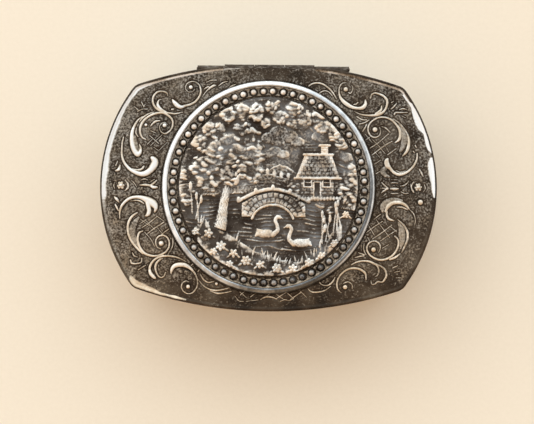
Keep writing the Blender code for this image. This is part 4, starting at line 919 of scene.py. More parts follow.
def aged_silver(name, darks, brights, pale_wear_and_highlight=False, worn_level=None, rough=(0.52, 0.34), grain=0.35, bump=0.25,
                metallic=(0.75, 0.45), front_tone=None, streak=(1.0, 1.0, 1.0)):
    """Silver plate: dark patina in the hollows, bright where the wear and light layer or worn_level says."""
    made, tree, object_place = new_material(name)
    place = vector_node(tree, "MULTIPLY", object_place, streak)["Vector"]
    patches = noise_node(tree, place, PATINA_PATCH, 4.0)
    stipple = noise_node(tree, place, STIPPLE_SIZE, 2.0, 0.6)
    fine = noise_node(tree, place, FINE_GRAIN_SIZE, 2.0, 0.6)
    dark = ramp_node(tree, patches, [(0.34, darks[0]), (0.52, darks[1]), (0.68, darks[2])])
    rubbed = noise_node(tree, place, BRIGHT_PATCH, 3.0)
    bright = ramp_node(tree, rubbed, [(0.36, brights[0]), (0.62, brights[1])])
    # A whiter bright tone where the paleness layer says, on rubbed silver and on painted highlights.
    if pale_wear_and_highlight:
        cold = range_node(tree, layer_node(tree, "pale_wear_and_highlight"), 0.3, 0.9, 0.0, 1.0)
        bright = mix_node(tree, cold, bright, (*COOL_SILVER[1], 1.0))
    # The wear layer also carries painted highlight and shade on the lid's edge, bezel, beads and ground.
    if worn_level is None:
        wear_and_light = layer_node(tree, "wear_and_light")
    else:
        wear_and_light = range_node(tree, patches, 0.45, 0.75, worn_level * 0.6, worn_level * 1.4)
    wear_and_light = math_node(tree, "ADD", wear_and_light, range_node(tree, stipple, 0.30, 0.70, -grain / 2, grain / 2))
    clean = range_node(tree, wear_and_light, 0.08, 0.80, 0.0, 1.0)
    color = mix_node(tree, clean, dark, bright)
    if front_tone is not None:
        color = toned_in_front(tree, object_place, color, front_tone)
    roughness = range_node(tree, clean, 0.0, 1.0, *rough)
    values = {
        "Base Color": color,
        "Roughness": math_node(tree, "ADD", roughness, range_node(tree, fine, 0.3, 0.7, -0.05, 0.05)),
        "Metallic": range_node(tree, clean, 0.0, 1.0, *metallic),
    }
    finish_shader(tree, values, math_node(tree, "ADD", stipple, fine), bump, SILVER_BUMP_DEPTH)
    return made


def toned_in_front(tree, place, color, tone):
    """A colour that takes on a tone towards the front."""
    along = add_node(tree, "ShaderNodeSeparateXYZ", {0: place}).outputs["Y"]
    front = range_node(tree, along, *FRONT_REACH, 1.0, 0.0)
    tone = mix_node(tree, front, (1.0, 1.0, 1.0, 1.0), (*tone, 1.0))
    return vector_node(tree, "MULTIPLY", color, tone)["Vector"]


def velvet_material(name):
    made, tree, place = new_material(name)
    pile = noise_node(tree, place, PILE_SIZE, 2.0)
    brushed = noise_node(tree, place, BRUSHED_PATCH, 3.0)
    base = ramp_node(tree, brushed, [(0.35, (0.085, 0.006, 0.013)), (0.65, (0.165, 0.014, 0.026))])
    shade = ramp_node(tree, pile, [(0.30, (0.06, 0.004, 0.009)), (0.70, (0.22, 0.022, 0.038))])
    values = {
        "Base Color": mix_node(tree, range_node(tree, pile, 0.0, 1.0, 0.25, 0.55), base, shade),
        "Roughness": 0.9,
        "Sheen Weight": 0.8,
        "Sheen Roughness": 0.35,
        "Sheen Tint": (0.80, 0.25, 0.28, 1.0),
    }
    finish_shader(tree, values, pile, 0.5, PILE_DEPTH)
    return made


def card_material(name):
    made, tree, place = new_material(name)
    fibre = noise_node(tree, place, FIBRE_SIZE, 4.0, 0.7)
    color = ramp_node(tree, fibre, [(0.30, (0.33, 0.26, 0.17)), (0.70, (0.52, 0.44, 0.32))])
    finish_shader(tree, {"Base Color": color, "Roughness": 0.85}, fibre, 0.3, FIBRE_DEPTH)
    return made


def floor_material(name):
    made, tree, place = new_material(name)
    grain = noise_node(tree, place, FLOOR_GRAIN_SIZE, 3.0, 0.6)
    color = ramp_node(tree, grain, [(0.25, (0.915, 0.788, 0.622)), (0.75, (0.945, 0.818, 0.652))])
    finish_shader(tree, {"Base Color": color, "Roughness": 0.8, "Specular IOR Level": 0.2})
    return made


def dress(obj, body, finish, slot, *replaced):
    """Gives a piece its material and body, and hides the nodes it stands for. Its slot is not used."""
    obj.data.materials.clear()
    obj.data.materials.append(finish)
    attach(obj, body)
    if replaced:
        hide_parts(*replaced)
    return obj


# Lid


def make_lid_field(finish):
    """The embossed ground in four quarters, lofted from the rim to the medallion."""
    outer = outline(RIM_WIDTH - TUCK)
    inner = outer / np.linalg.norm(outer, axis=1, keepdims=True) * (BEZEL_RADIUS - TUCK)
    share = np.linspace(0.0, 1.0, FIELD_ROWS)[:, None, None]
    flat = outer * (1 - share) + inner * share
    height, wear_and_light, pale_wear_and_highlight = field_relief(flat[..., 0], flat[..., 1], smoothstep(0.0, 0.04, share[..., 0]))
    top = np.dstack([flat, FIELD_HEIGHT + height])
    around = np.concatenate([top[:, -1:], top, top[:, :1]], axis=1)
    normals = np.cross(np.gradient(around, axis=1)[:, 1:-1], np.gradient(top, axis=0))
    normals /= np.maximum(np.linalg.norm(normals, axis=2, keepdims=True), 1e-12)
    normals *= np.sign(normals[..., 2:])
    for index, name in enumerate(FIELD_QUARTERS):
        columns = np.arange(index * QUARTER_STEPS, (index + 1) * QUARTER_STEPS + 1) % (4 * QUARTER_STEPS)
        points = closed_below(top[:, columns], PANEL_BOTTOM)
        facing = with_ends_again(normals[:, columns])
        facing[-2:] = (0.0, 0.0, -1.0)
        obj = field_quarter("lid_field_" + name, points, wear_and_light[:, columns], pale_wear_and_highlight[:, columns], facing)
        dress(obj, "lid", finish, "silver_plate_patina", "lid_panel")


def field_quarter(name, points, wear_and_light, pale_wear_and_highlight, normals):
    """A closed sheet from rows of points, with a cap at either end of its rows."""
    rows, columns = points.shape[:2]
    quads, places = grid_faces(rows, columns, wrap_rows=True)
    caps = [range(0, rows * columns, columns), range(rows * columns - 1, 0, -columns)]
    ring = 0.001 * unit_circle(rows)
    layers = {"wear_and_light": with_ends_again(wear_and_light), "pale_wear_and_highlight": with_ends_again(pale_wear_and_highlight)}
    return mesh_object(name, points, quads, places, caps, [ring + 0.001, ring + 0.003], layers, normals)


def raise_ornament(relief):
    """Raises all that stands on the ground. Returns the crests of its bodies, lattices and other forms."""
    for pixels in BODY_PIXELS:
        relief.stroke(pixel_path(pixels), STROKE_CROWN_SHARE / 3, most=BODY_HEIGHT)
    body = relief.crest.copy()
    for pixels in LATTICE_PIXELS:
        relief.stroke(pixel_path(pixels), 1.0, most=LATTICE_HEIGHT)
    lattice = np.where(relief.crest > body, relief.crest, 0.0)
    below = relief.height.copy()
    for pixels in SCROLL_PIXELS:
        relief.stroke(pixel_path(pixels), STROKE_CROWN_SHARE, most=STROKE_HEIGHT)
    for px, py, radius in BOSS_PIXELS:
        size = radius * PIXEL
        relief.dome(*pixel_point(px, py), (size, size), size * 0.8)
    for pixel in ROSETTE_PIXELS:
        add_rosette(relief, *pixel_point(*pixel))
    return body, lattice, np.where(relief.height > below, relief.crest, 0.0)


def field_relief(x, y, away_from_rim):
    """Height, wear and paleness of the lid's ground and all on it, with painted highlight and shade."""
    relief = Relief(x, y)
    body, lattice, raised = raise_ornament(relief)
    ditch = smoothstep(DITCH_WIDTH, 0.0, relief.gap) * smoothstep(-TUCK, TUCK, relief.gap)
    moat = smoothstep(BEZEL_RADIUS + MOAT_WIDTH, BEZEL_RADIUS + MOAT_FLAT_WIDTH, np.hypot(x, y))
    hollow = np.maximum(ditch, moat)
    pits = cell_distance(x, y, GROUND_PIT_SIZE, 8)[0]
    stipple = fractal_noise(x, y, GROUND_GRAIN_SIZE, 7) + smoothstep(0.2, 0.7, pits) - 0.5
    open_ground = smoothstep(0.0, OPEN_GROUND_EDGE, relief.gap)
    height = relief.height + GROUND_GRAIN * stipple * (0.3 + 0.7 * open_ground) * away_from_rim
    height -= GROUND_SINK * hollow
    stature = smoothstep(0.05, 0.75, relief.height / np.sqrt(np.maximum(relief.crest, 0.05)) / STROKE_HEIGHT)
    # Painted shade towards the front right of the lid.
    front_right_shade = smoothstep(-0.6, 1.0, (x - y) / LID_LENGTH * 2)
    shine = 0.50 + 0.50 * stature + 0.30 * fractal_noise(x, y, SHINE_PATCH, 9) - 0.14 * front_right_shade
    rubbed = smoothstep(0.10, 0.60, raised) * shine
    lines = smoothstep(0.2, 0.9, lattice) * (0.58 + 0.25 * fractal_noise(x, y, LATTICE_PATCH, 12))
    leaf = smoothstep(0.0, 0.5, body) * (0.36 + 0.15 * fractal_noise(x, y, LEAF_PATCH, 13))
    dull = ground_wear_and_shade(x, y, front_right_shade) + 0.13 * stipple * open_ground
    wear_and_light = np.maximum(np.maximum(rubbed, lines), np.maximum(leaf, dull)) - 0.30 * hollow
    edge = edge_wear_and_highlight(x, y)
    # Painted highlight: the big scroll heads on the left half show pale and white.
    left_head_highlight = smoothstep(0.75, 1.0, stature) * smoothstep(0.3, 0.9, raised)
    left_head_highlight *= 0.8 * smoothstep(0.2, -0.4, x / LID_LENGTH * 2)
    return height, np.maximum(wear_and_light, edge), np.maximum(edge * coldness(y), left_head_highlight)


def ground_wear_and_shade(x, y, front_right_shade):
    """Wear of the open ground, with painted shade at the front right, the front and shaded stretches."""
    dull = 0.18 - 0.07 * front_right_shade + 0.11 * fractal_noise(x, y, GROUND_PATCH, 11)
    # Painted shade along the front of the ground.
    dull -= 0.12 * smoothstep(-0.72, -0.88, y / LID_DEPTH * 2)
    for px, py, reach, depth in SHADED_GROUND_PIXELS:
        place = pixel_point(px, py)
        dull -= depth * smoothstep(1.0, 0.35, np.hypot(x - place[0], (y - place[1]) * 1.6) / (reach * PIXEL))
    return dull


def add_rosette(relief, x, y):
    """A worn flower: lumps run together round a knob, with an arc on its inner side."""
    picks = np.random.default_rng(45).uniform(-1.0, 1.0, (ROSETTE_PETALS, 2))
    petals = ROSETTE_RADIUS * 0.62
    for index, (turn, grow) in enumerate(picks):
        angle = 2 * math.pi * (index + 0.35 * turn) / ROSETTE_PETALS
        size = ROSETTE_RADIUS * (0.42 + 0.12 * grow)
        relief.dome(*on_ellipse(x, y, petals, petals, angle), (size, size * 0.8), size * 0.45, turn=angle)
    relief.dome(x, y, (ROSETTE_RADIUS * 0.6, ROSETTE_RADIUS * 0.5), ROSETTE_RADIUS * 0.5)
    reach = 1.75 * ROSETTE_RADIUS
    inward = -math.copysign(reach, x)
    arc = [on_ellipse(x, y, inward, reach, angle) for angle in np.linspace(-0.9, 0.9, 12)]
    relief.stroke([(*place, ROSETTE_RADIUS * 0.16) for place in arc], STROKE_CROWN_SHARE)


def make_lid_band(finish):
    """Skirt and rolled rim, with the ledge that carries the embossed ground."""
    taper_top = LID_BOTTOM + SKIRT_TAPER_HEIGHT
    profile = [(SKIRT_TAPER, LID_BOTTOM), (SKIRT_TAPER / 3, (LID_BOTTOM + taper_top) / 2), (0.0, taper_top)]
    for step in range(RIM_STEPS + 1):
        angle = math.pi / 2 * step / RIM_STEPS
        across = 1 - math.cos(angle) ** RIM_SQUARENESS
        down = 1 - math.sin(angle) ** RIM_SQUARENESS
        profile.append((RIM_WIDTH / 2 * across, LID_TOP - RIM_ROUNDING * down))
    fall = RIM_RISE + TUCK / 10
    for step in range(1, RIM_STEPS + 1):
        share = step / RIM_STEPS
        ease = (1 - math.cos(math.pi * share)) / 2
        profile.append((RIM_WIDTH / 2 * (1 + share), LID_TOP - fall * (share + ease) / 2))
    profile += [
        (RIM_WIDTH, LEDGE_TOP), (LEDGE_INNER_INSET, LEDGE_TOP), (LEDGE_INNER_INSET, LEDGE_BOTTOM),
        (SKIRT_THICKNESS, LEDGE_BOTTOM), (SKIRT_THICKNESS, LID_BOTTOM),
    ]
    points = swept(profile)
    open_for_hinge(*np.moveaxis(points, 2, 0))
    insets = np.array([inset for inset, _ in profile])[:, None]
    obj = ring_object("lid_rim", points, rim_layers(points[..., 0], points[..., 1], insets))
    obj.data.set_sharp_from_angle(angle=SHARP_ANGLE)
    dress(obj, "lid", finish, "silver_plate_rim", "lid_band")


def open_for_hinge(x, y, z):
    """Draws the back of the rim in behind the lid's knuckles, and its foot up over the outer ones."""
    pocket = (abs(x) <= LID_POCKET) & (y > 0)
    z[pocket] = np.clip(z[pocket], LEDGE_BOTTOM, FIELD_HEIGHT)
    y[pocket] = np.minimum(y[pocket], NOTCH_Y)
    outer = (abs(x) > LID_POCKET) & (x >= HINGE_LEFT) & (x <= HINGE_RIGHT) & (y > 0)
    z[outer] = np.maximum(z[outer], BARREL_TOP)


def rim_layers(x, y, insets):
    """Rim wear and painted light. Its outer half takes the middle's, behind a dark line at the very edge."""
    outer = outline(0.0)
    across = outer[:, 0] / LID_LENGTH * 2
    along = outer[:, 1] / LID_DEPTH * 2
    level = 0.15 + 0.14 * fractal_noise(x, y, RIM_PATCH, 17) + 0.10 * fractal_noise(x, y, RIM_GRAIN, 18)
    # Painted shade towards the front, and towards the front at the right end.
    level -= 0.16 * smoothstep(-0.3, -0.8, along)
    level -= 0.14 * smoothstep(0.6, 0.9, across) * smoothstep(0.1, -0.2, along)
    # Painted highlight on the rim's crest at the left end.
    crest = smoothstep(*CREST_START, insets) * smoothstep(*CREST_END, insets)
    level += 0.13 * crest * smoothstep(-0.6, -0.85, across)
    share = (0.45 + 0.55 * np.clip(insets / RIM_WIDTH, 0.0, 1.0))[..., None]
    place = outer * (1 - share) + outline(RIM_WIDTH) * share
    back = smoothstep(0.45, 0.75, along)
    line_x, strength = np.transpose(BACK_LINE_PIXELS)
    line = np.interp(outer[:, 0], pixel_point(line_x, LID_MIDDLE_PIXEL[1])[0], strength) * back
    line = line * (1 + 0.35 * fractal_noise(x, y, BACK_LINE_PATCH, 19))
    line *= smoothstep(BACK_LINE_START - BACK_LINE_SOFTNESS, BACK_LINE_START, insets)
    line *= smoothstep(BACK_LINE_END + BACK_LINE_SOFTNESS, BACK_LINE_END - BACK_LINE_SOFTNESS / 2, insets)
    edge = np.maximum(edge_wear_and_highlight(place[..., 0], place[..., 1]), line)
    width = DARK_EDGE_WIDTH * (1 + 0.30 * back - 0.15 * smoothstep(-0.5, -0.8, along))
    side = smoothstep(1.18, 0.82, insets / width)
    return {"wear_and_light": np.maximum(level, edge) * (1 - side) - 0.04 * side, "pale_wear_and_highlight": edge * coldness(y)}


def coldness(y):
    """1 where rubbed silver shows white, falling to 0 towards the front, where it shows cream."""
    return smoothstep(-0.9, -0.2, y / LID_DEPTH * 2)


def make_gap_shade_discs(finish):
    """A thin dark disc in each joint of the hinge, put there as painted shade in the gap between knuckles."""
    circle = unit_circle(SHADE_DISC_COLUMNS) * SHADE_DISC_RADIUS + (HINGE_AXIS.y, HINGE_AXIS.z)
    half = SHADE_DISC_THICKNESS / 2
    parts = [
        np.array([np.insert(circle, 0, middle + side, axis=1) for side in (-half, half)])
        for middle in np.linspace(-LEAF_HALF_LENGTH, LEAF_HALF_LENGTH, JOINT_COUNT)
    ]
    obj = capped_rings("hinge_gap_shade_discs", parts)
    obj.data.set_sharp_from_angle(angle=SHARP_ANGLE)
    dress(obj, "base", finish, "hinge_metal")


# Medallion


def make_bezel(finish):
    """The bright ring round the medallion, its broad face falling outwards."""
    profile = [(BEZEL_INNER_RADIUS, BEZEL_SEAT)]
    for across, down in BEZEL_SECTION:
        profile.append((BEZEL_INNER_RADIUS + BEZEL_WIDTH * across, BEZEL_TOP - BEZEL_WIDTH * down))
    profile.append((BEZEL_RADIUS, BEZEL_SEAT))
    circle = unit_circle(BEZEL_COLUMNS)
    points = np.array([np.insert(radius * circle, 2, height, axis=1) for radius, height in profile])
    x, y, z = np.moveaxis(points, 2, 0)
    raised = smoothstep(BEZEL_TOP - BEZEL_WIDTH, BEZEL_TOP, z)
    z += BEZEL_DENT * (fractal_noise(x, y, BEZEL_DENT_SIZE, 21) - 1) * raised
    angle = np.arctan2(y, x)
    across = (np.hypot(x, y) - BEZEL_INNER_RADIUS) / BEZEL_WIDTH
    mottle = 0.24 * fractal_noise(x, y, BEZEL_PATCH, 22) + 0.26 * fractal_noise(x, y, BEZEL_GRAIN, 23)
    # Painted highlight and shade: the ring is lighter towards the back left and darker towards the front
    # right, over uneven patina.
    level = np.clip(0.52 + 0.56 * np.cos(angle - BEZEL_HIGHLIGHT_SIDE) + mottle, 0.10, 1.0)
    # Painted highlight along the ring's outer edge towards the right.
    outer_highlight = smoothstep(0.50, 0.72, across) * smoothstep(-0.10, 0.55, np.cos(angle - OUTER_HIGHLIGHT_SIDE))
    level = np.maximum(level, outer_highlight * (0.85 + mottle))
    level -= 0.60 * smoothstep(0.12, 0.02, across) + 0.60 * smoothstep(0.84, 0.96, across)
    obj = ring_object("medallion_ring", points, {"wear_and_light": level})
    dress(obj, "lid", finish, "silver_plate_rim", "medallion_bezel")


def make_bead_track(finish):
    """The sunk ring that carries the beads, with a groove inside it and a fillet outside it."""
    radii = np.linspace(PICTURE_RADIUS - TUCK, BEZEL_INNER_RADIUS + TUCK, TRACK_ROWS)
    turn = np.linspace(0.0, 2 * math.pi, TRACK_COLUMNS, endpoint=False)
    radius, angle = np.meshgrid(radii, turn, indexing="ij")
    x = radius * np.cos(angle)
    y = radius * np.sin(angle)
    groove_end = PICTURE_RADIUS + GROOVE_WIDTH
    groove = smoothstep(PICTURE_RADIUS, PICTURE_RADIUS + GROOVE_EDGE, radius)
    groove *= smoothstep(groove_end, groove_end - GROOVE_EDGE_SOFTNESS, radius)
    pitch = 2 * math.pi / BEAD_COUNT
    offset = ((angle - BEAD_PHASE) / pitch + 0.5) % 1.0 - 0.5
    to_bead = np.hypot(offset * pitch * BEAD_RING_RADIUS, radius - BEAD_RING_RADIUS)
    pit = smoothstep(*TRACK_SINK_EDGE, to_bead - BEAD_RADIUS)
    fillet = smoothstep(BEAD_RING_RADIUS + BEAD_RADIUS * 0.9, BEAD_RING_RADIUS + BEAD_RADIUS * 1.25, radius)
    inner_edge = smoothstep(GROOVE_EDGE_SOFTNESS, 0.0, abs(radius - groove_end - GROOVE_EDGE))
    grain = fractal_noise(x, y, TRACK_GRAIN_SIZE, 25)
    z = TRACK_HEIGHT - GROOVE_DEPTH * groove - TRACK_SINK * pit + FILLET_RISE * fillet + TRACK_GRAIN * grain
    wear_and_light = 0.20 + 0.10 * grain + 0.16 * fillet + 0.20 * inner_edge - 0.30 * pit - 0.10 * groove
    wear_and_light -= 0.12 * smoothstep(*TRACK_SHADE, BEZEL_INNER_RADIUS - radius)
    points = closed_below(np.dstack([x, y, z]), BEZEL_SEAT)
    obj = ring_object("medallion_track", points, {"wear_and_light": with_ends_again(wear_and_light)})
    dress(obj, "lid", finish, "silver_plate_patina")


def make_beads(finish):
    """Sixty round beads, each a touch out of true."""
    picks = np.random.default_rng(41).uniform(-1.0, 1.0, (BEAD_COUNT, 5))
    polar = np.concatenate([[0.04], np.linspace(0.0, math.pi * 0.62, BEAD_ROWS)[1:]])
    turn = np.linspace(0.0, 2 * math.pi, BEAD_COLUMNS, endpoint=False)
    theta, phi = np.meshgrid(polar, turn, indexing="ij")
    ball = np.dstack([np.sin(theta) * np.cos(phi), np.sin(theta) * np.sin(phi), np.cos(theta)])
    # Each bead's top is rubbed bright and also carries a painted highlight.
    shine = 0.38 * smoothstep(0.10, 0.45, ball[..., 2]) + 0.62 * smoothstep(0.48, 0.86, ball[..., 2])
    parts = []
    wear_and_light = []
    for index, pick in enumerate(picks):
        angle = BEAD_PHASE + 2 * math.pi * index / BEAD_COUNT + 0.010 * pick[0]
        ring = BEAD_RING_RADIUS + BEAD_WANDER * pick[1]
        middle = (*on_ellipse(0.0, 0.0, ring, ring, angle), TRACK_HEIGHT + BEAD_UNEVENNESS * pick[3])
        parts.append(middle + BEAD_RADIUS * (1 + 0.05 * pick[2]) * ball)
        # Painted highlight and shade: beads are lighter towards the back and darker towards the front.
        wear_and_light.append(shine * (0.65 + 0.30 * math.cos(angle - BEAD_HIGHLIGHT_SIDE) + 0.15 * pick[4]) - 0.06)
    obj = capped_rings("medallion_beads", parts, {"wear_and_light": np.array(wear_and_light)})
    dress(obj, "lid", finish, "silver_plate_patina")


def disc_grid(steps):
    """Points of a unit disc on a square grid whose squares become rings."""
    side = np.linspace(-1.0, 1.0, steps)
    a, b = np.meshgrid(side, side)
    wide = abs(a) > abs(b)
    radius = np.where(wide, a, b)
    safe = np.where(radius == 0, 1.0, radius)
    angle = np.where(wide, math.pi / 4 * b / safe, math.pi / 2 - math.pi / 4 * a / safe)
    return radius * np.cos(angle), radius * np.sin(angle)


def make_picture(finish):
    """The landscape in relief inside the bead ring."""
    u, v = disc_grid(PICTURE_STEPS)
    height, wear_and_light = landscape(u, v)
    height *= smoothstep(1.0, 0.985, np.hypot(u, v))
    near = height - blurred(blurred(height, NEAR_REACH), NEAR_REACH)
    broad = blurred(height, FINE_REACH) - blurred(blurred(height, BROAD_REACH), BROAD_REACH)
    crest = 0.66 * smoothstep(*NEAR_CREST, near) + 0.28 * smoothstep(*BROAD_CREST, broad)
    crest -= 0.30 * smoothstep(*NEAR_HOLLOW, near)
    x = u * PICTURE_RADIUS
    y = v * PICTURE_RADIUS
    wear_and_light = wear_and_light + crest * (0.86 + 0.30 * fractal_noise(x, y, PICTURE_PATCH, 51))
    obj = closed_disc("medallion_landscape", np.dstack([x, y, TRACK_HEIGHT + height]), wear_and_light)
    dress(obj, "lid", finish, "silver_plate_patina", "medallion_plaque")


def closed_disc(name, top, wear_and_light):
    """A disc from a square grid of points, with a side down to the bezel's seat and a flat underside."""
    count = len(top)
    top = top.reshape(-1, 3)
    index = np.arange(count * count).reshape(count, count)
    ring = np.concatenate([index[0, :-1], index[:-1, -1], index[-1, :0:-1], index[:0:-1, 0]])
    size = len(ring)
    low = count * count + np.arange(size)
    points = np.vstack([top, top[ring] * (1, 1, 0) + (0, 0, BEZEL_SEAT)])
    quads, places = grid_faces(count, count)
    side = np.stack([ring, low, np.roll(low, -1), np.roll(ring, -1)], axis=1)
    share = np.arange(size)[:, None] / size
    side_places = np.dstack([
        share + (0, 0, 1 / size, 1 / size), np.tile((0.975, 0.995, 0.995, 0.975), (size, 1)),
    ])
    first, second, third = top[quads[0, :3]]
    if np.cross(second - first, third - first)[2] < 0:
        quads = quads[:, ::-1]
        places = places[:, ::-1]
    return mesh_object(
        name, points, np.vstack([quads, side]), np.vstack([places * 0.94, side_places]),
        [low[::-1].tolist()], [0.955 + 0.008 * unit_circle(size)],
        {"wear_and_light": np.concatenate([wear_and_light.ravel(), wear_and_light.ravel()[ring]])},
    )


# Landscape

CLUMP_SHARES = [
    (-0.62, 0.26, 0.21, 1), (-0.44, 0.44, 0.22, 0.95), (-0.22, 0.34, 0.19, 0.9), (-0.42, 0.18, 0.2, 1.05),
    (-0.68, 0.04, 0.15, 0.85), (-0.27, 0.6, 0.17, 0.8), (-0.16, 0.14, 0.12, 0.75), (0.84, -0.02, 0.1, 0.7),
    (0.28, 0.02, 0.09, 0.6), (-0.55, 0.6, 0.13, 0.8), (-0.79, 0.2, 0.11, 0.8), (-0.58, 0.42, 0.14, 1),
    (-0.3, 0.22, 0.1, 1), (-0.84, -0.02, 0.08, 0.6), (0.9, 0.12, 0.07, 0.55), (0.2, 0.05, 0.06, 0.45),
]
CLOUD_SHARES = [
    (0, 0.54, 0.08), (0.11, 0.6, 0.1), (0.23, 0.56, 0.09), (0.32, 0.5, 0.07), (0.1, 0.5, 0.07),
    (-0.02, 0.36, 0.06), (0.07, 0.39, 0.07), (0.16, 0.36, 0.06), (0.56, 0.56, 0.08), (0.66, 0.52, 0.08),
    (0.78, 0.36, 0.06), (0.86, 0.33, 0.07),
]
BOUGH_SHARES = [
    (-0.46, 0.8, 0.11, 0.8), (-0.3, 0.85, 0.11, 0.78), (-0.14, 0.82, 0.12, 0.82), (0.03, 0.88, 0.1, 0.74),
    (0.13, 0.79, 0.1, 0.78), (0.28, 0.86, 0.11, 0.76), (0.4, 0.76, 0.11, 0.8), (0.53, 0.77, 0.09, 0.7),
    (0.59, 0.66, 0.1, 0.76), (0.72, 0.6, 0.1, 0.7), (0.8, 0.49, 0.08, 0.66), (0.26, 0.71, 0.07, 0.6),
    (-0.04, 0.72, 0.07, 0.62), (0.9, 0.06, 0.09, 0.7), (0.88, -0.12, 0.1, 0.72), (0.93, 0.2, 0.07, 0.6),
    (0.3, -0.04, 0.08, 0.62), (-0.92, 0.14, 0.08, 0.6), (-0.9, -0.14, 0.08, 0.62), (-0.76, 0.48, 0.11, 0.74),
    (-0.66, 0.64, 0.1, 0.72), (0.7, -0.26, 0.07, 0.6), (0.58, -0.22, 0.06, 0.56),
]
LEAF_TWIG_SHARES = [
    [(-0.43, 0.55, 0.026), (-0.2, 0.78, 0.022), (0.1, 0.84, 0.018), (0.38, 0.8, 0.016), (0.62, 0.66, 0.013),
     (0.8, 0.48, 0.008)],
    [(0.1, 0.84, 0.014), (0.16, 0.74, 0.012), (0.26, 0.68, 0.008)],
    [(0.4, 0.79, 0.013), (0.44, 0.68, 0.011), (0.52, 0.6, 0.007)],
]
HILL_SHARES = [
    [(-1, 0.12), (-0.5, 0.26), (-0.1, 0.12), (0.12, 0.27), (0.34, 0.16), (0.6, 0.34), (0.85, 0.24),
     (1, 0.2)],
    [(-1, 0.02), (-0.4, 0.1), (0, 0.16), (0.3, 0.09), (0.8, 0.16), (1, 0.08)],
]
FAR_BANK_SHARES = [(-1, -0.1), (-0.4, -0.06), (0, -0.04), (0.4, -0.1), (0.7, -0.2), (1, -0.24)]
BRIDGE_SHARES = [
    (-0.3, -0.18), (-0.14, -0.09), (0.05, -0.05), (0.24, -0.09), (0.42, -0.18), (0.42, -0.34), (0.29, -0.34),
    (0.22, -0.24), (0.05, -0.185), (-0.12, -0.24), (-0.19, -0.34), (-0.3, -0.34),
]
PARAPET_SHARES = [(-0.33, -0.16), (-0.14, -0.065), (0.05, -0.025), (0.24, -0.065), (0.45, -0.16)]
WALL_SHARES = [(0.36, -0.12), (0.72, -0.12), (0.72, 0.12), (0.36, 0.12)]
ROOF_SHARES = [(0.30, 0.10), (0.79, 0.10), (0.70, 0.36), (0.40, 0.36)]
CHIMNEY_SHARES = [(0.58, 0.32), (0.66, 0.32), (0.66, 0.46), (0.58, 0.46)]
OPENING_SHARES = [(0.40, 0.01, 0.47, 0.09), (0.51, -0.12, 0.57, 0.05), (0.61, 0.01, 0.68, 0.09)]
# Caps of the chimney, the ridge and the eaves: left end, right end, height, half width and base
COPING_SHARES = [
    (0.565, 0.675, 0.465, 0.014, 0.66), (0.39, 0.71, 0.362, 0.014, 0.74), (0.29, 0.80, 0.100, 0.013, 0.70),
]
SMOKE_SHARES = [
    (0.62, 0.50, 0.014), (0.60, 0.55, 0.018), (0.65, 0.60, 0.020), (0.61, 0.66, 0.022), (0.67, 0.72, 0.018),
]
TRUNK_SHARES = [(-0.54, -0.55, 0.085), (-0.5, -0.25, 0.06), (-0.46, 0.02, 0.048), (-0.43, 0.22, 0.032)]
BRANCH_SHARES = [
    [(-0.49, -0.12, 0.03), (-0.58, 0.02, 0.022), (-0.66, 0.1, 0.014)],
    [(-0.46, -0.04, 0.028), (-0.36, 0.06, 0.02), (-0.25, 0.12, 0.012)],
    [(-0.55, -0.5, 0.04), (-0.64, -0.57, 0.026), (-0.72, -0.58, 0.012)],
    [(-0.52, -0.5, 0.036), (-0.44, -0.58, 0.024), (-0.36, -0.62, 0.01)],
]
SWAN_SHARES = [(-0.02, -0.52, 1.0), (0.36, -0.62, -1.0)]
# A swan's neck and beak from its middle, facing right
NECK_SHARES = [
    (0.075, -0.01, 0.03), (0.125, 0.04, 0.024), (0.118, 0.1, 0.02), (0.1, 0.145, 0.019),
    (0.118, 0.185, 0.02), (0.145, 0.185, 0.02),
]
BEAK_SHARES = [(0.150, 0.184, 0.013), (0.185, 0.168, 0.005)]
BANK_SHARES = [
    (-0.75, -0.36), (-0.62, -0.44), (-0.46, -0.5), (-0.3, -0.6), (-0.15, -0.7), (0, -0.75), (0.16, -0.8),
    (0.34, -0.82), (0.5, -0.74), (0.62, -0.64), (0.72, -0.5), (0.8, -0.4),
]
REED_SHARES = [
    (0.6, -0.62), (0.64, -0.6), (0.68, -0.56), (0.72, -0.53), (0.76, -0.48), (0.8, -0.42), (-0.8, -0.36),
    (-0.84, -0.3), (-0.77, -0.4), (0.57, -0.66),
]
BLOSSOM_SHARES = [
    (-0.66, -0.52, 0.05), (-0.52, -0.66, 0.056), (-0.38, -0.74, 0.048), (-0.24, -0.82, 0.054),
    (-0.08, -0.86, 0.046), (0.1, -0.9, 0.052), (0.28, -0.9, 0.046), (0.46, -0.84, 0.052),
    (-0.6, -0.72, 0.04), (-0.42, -0.86, 0.042), (0.6, -0.76, 0.046), (0.74, -0.62, 0.044),
    (-0.8, -0.5, 0.042), (0.86, -0.3, 0.04),
]


def landscape(u, v):
    """Height in metres and extra wear of the picture, from places in shares of its radius."""
    relief = Relief(u, v)
    wear_and_light = 0.06 + 0.12 * value_noise(u, v, 0.20, 63)
    add_sky(relief, u, v)
    add_hills(relief, u, v)
    wear_and_light -= 0.10 * smoothstep(0.0, 0.05, add_water(relief, u, v))
    add_bridge(relief, u, v)
    add_cottage(relief, u, v)
    add_tree(relief, u, v)
    for swan in SWAN_SHARES:
        add_swan(relief, *swan)
    add_near_bank(relief, u, v)
    tooth = value_noise(u, v, 0.030, 61) * 0.020 + value_noise(u, v, 0.014, 62) * 0.012
    return (relief.height + tooth) * RELIEF_HEIGHT, wear_and_light


def line_height(points, u):
    return np.interp(u, *np.transpose(points))


